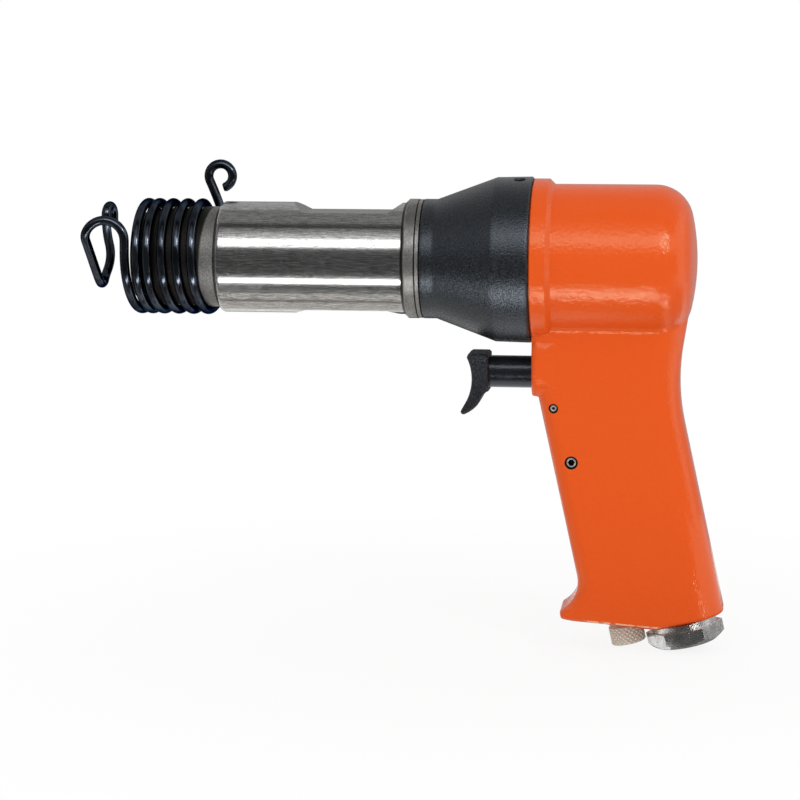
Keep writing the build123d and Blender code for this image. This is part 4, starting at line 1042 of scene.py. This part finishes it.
# Each upright flag: name, start, end, bottom, top, finish
for flag in [
    ("front_flag", (studio_left, floor_front), (studio_right, floor_front), front_flag_bottom, 0.105,
     dark_flag),
    ("left_flag", (left_flag_line, -0.7), (left_flag_line, 0.12), floor_level, 0.60, dim_flag),
    ("grip_front_flag", (0.02, grip_flag_line), (grip_flag_side, grip_flag_line), floor_level, grip_flag_top,
     black_flag),
    ("grip_side_flag", (grip_flag_side, -0.13), (grip_flag_side, grip_flag_split), grip_flag_bottom,
     grip_flag_top, black_flag),
    ("grip_rear_flag", (grip_flag_side, grip_flag_split), (grip_flag_side, 0.03), grip_flag_bottom,
     grip_flag_top, white_flag),
    ("trigger_flag", (0.08, trigger_flag_line), (0.145, trigger_flag_line), -0.06, -0.022, black_flag),
    ("flat_flag", (-0.02, flat_flag_line), (0.085, flat_flag_line), 0.015, 0.085, dim_flag),
    ("back_flag", (studio_left, back_flag_line), (studio_right, back_flag_line), floor_level, 0.20,
     grey_flag),
]:
    upright_card(*flag)

# Each level flag: name, left, right, front, back, level, finish
for flag in [
    ("barrel_table_front", table_left, table_split, floor_front, shade_back, table_level, dim_flag),
    ("barrel_table_middle", table_left, table_split, shade_back, line_front, table_level, warm_flag),
    ("barrel_table_line", table_left, table_split, line_front, line_back, table_level, warm_dim_flag),
    ("barrel_table_back", table_left, table_split, line_back, table_back, table_level, warm_flag),
    ("grip_table_flag", table_split, table_right, floor_front, table_back, table_level, dim_flag),
    ("hex_table_front", 0.15, 0.26, -0.09, hex_split, hex_level, dark_flag),
    ("hex_table_back", 0.10, 0.20, hex_split, 0.11, hex_level, white_flag),
    ("low_strip", -0.03, 0.225, -0.175, -0.143, strip_level, strip_flag),
    ("head_table_flag", 0.11, 0.178, -0.048, -0.018, head_level, white_flag),
    ("low_patch", 0.255, 0.295, -0.11, -0.06, strip_level, strip_flag),
    ("fold_card", 0.15, 0.25, -0.142, -0.10, strip_level, fold_flag),
    ("top_key_flag", studio_left, studio_right, -0.777, top_edge_front, top_level, grey_flag),
    ("top_edge_flag", studio_left, studio_right, top_edge_front, top_front, top_level, dim_flag),
    ("top_front_flag", studio_left, studio_right, top_front, top_middle, top_level, black_flag),
    ("top_middle_flag", studio_left, studio_right, top_middle, top_back, top_level, dim_flag),
    ("top_back_flag", studio_left, studio_right, top_back, 1.6, top_level, grey_flag),
]:
    level_card(*flag)


def softbox(name, place, target, width, height, watts, glossy=True):
    """Rectangular lamp that faces a target, not seen by the camera."""
    lamp = bpy.data.lights.new(name, "AREA")
    lamp.shape = "RECTANGLE"
    lamp.size = width
    lamp.size_y = height
    lamp.energy = watts
    holder = bpy.data.objects.new(name, lamp)
    holder.location = place
    holder.rotation_euler = (Vector(target) - Vector(place)).to_track_quat("-Z", "Y").to_euler()
    holder.visible_camera = False
    holder.visible_glossy = glossy
    bpy.context.scene.collection.objects.link(holder)


def front_softbox(name, elevation, height, watts):
    """Wide lamp in front of the object, at an elevation in degrees."""
    turn = radians(elevation)
    place = lamp_aim + Vector((0.0, -cos(turn), sin(turn))) * lamp_reach
    softbox(name, place, lamp_aim, lamp_width, height, watts)


front_softbox("key_softbox", elevation=33.5, height=0.239, watts=0.956)
front_softbox("middle_softbox", elevation=49.0, height=0.14, watts=0.08)
front_softbox("upper_softbox", elevation=60.0, height=0.17, watts=0.10)
softbox("side_softbox", (0.60, -0.54, 0.42), (0.22, 0.0, -0.02), width=0.12, height=0.12, watts=1.15)
softbox("left_softbox", (-0.62, -0.62, 0.42), (0.03, 0.0, 0.0), width=0.30, height=0.30, watts=0.35)
softbox("low_fill", (0.18, -0.160, strip_level), (0.18, -0.160, 1.0), width=0.60, height=0.13, watts=0.15,
        glossy=False)
softbox("back_strip", (0.10, 0.90, 0.42), (0.10, 0.0, 0.0), width=1.3, height=0.22, watts=1.1)

world = bpy.data.worlds.new("studio")
world.use_nodes = True
bpy.context.scene.world = world
sky = world.node_tree
sky.nodes.clear()
ambient = add_node(sky, "ShaderNodeBackground", {"Color": plain_white, "Strength": ambient_level})
white = add_node(sky, "ShaderNodeBackground", {"Color": plain_white, "Strength": 1.0})
seen = add_node(sky, "ShaderNodeMixShader", {
    0: background_share(sky),
    1: ambient.outputs[0],
    2: white.outputs[0],
})
add_node(sky, "ShaderNodeOutputWorld", {"Surface": seen.outputs[0]})

# Camera at the photograph's angle
camera_data = bpy.data.cameras.new("photo_camera")
camera_data.sensor_width = 36.0
camera_data.lens = 121.6
camera_data.clip_start = 0.05
camera_data.clip_end = 20.0
camera = bpy.data.objects.new("photo_camera", camera_data)
camera_place = Vector((0.22066, -1.0350, 0.09116))
camera_target = Vector((0.09359, 0.0, -0.05535))
camera.location = camera_place
camera.rotation_euler = (camera_target - camera_place).to_track_quat("-Z", "Y").to_euler()
bpy.context.scene.collection.objects.link(camera)
bpy.context.scene.camera = camera
bpy.context.scene.view_settings.view_transform = "Standard"
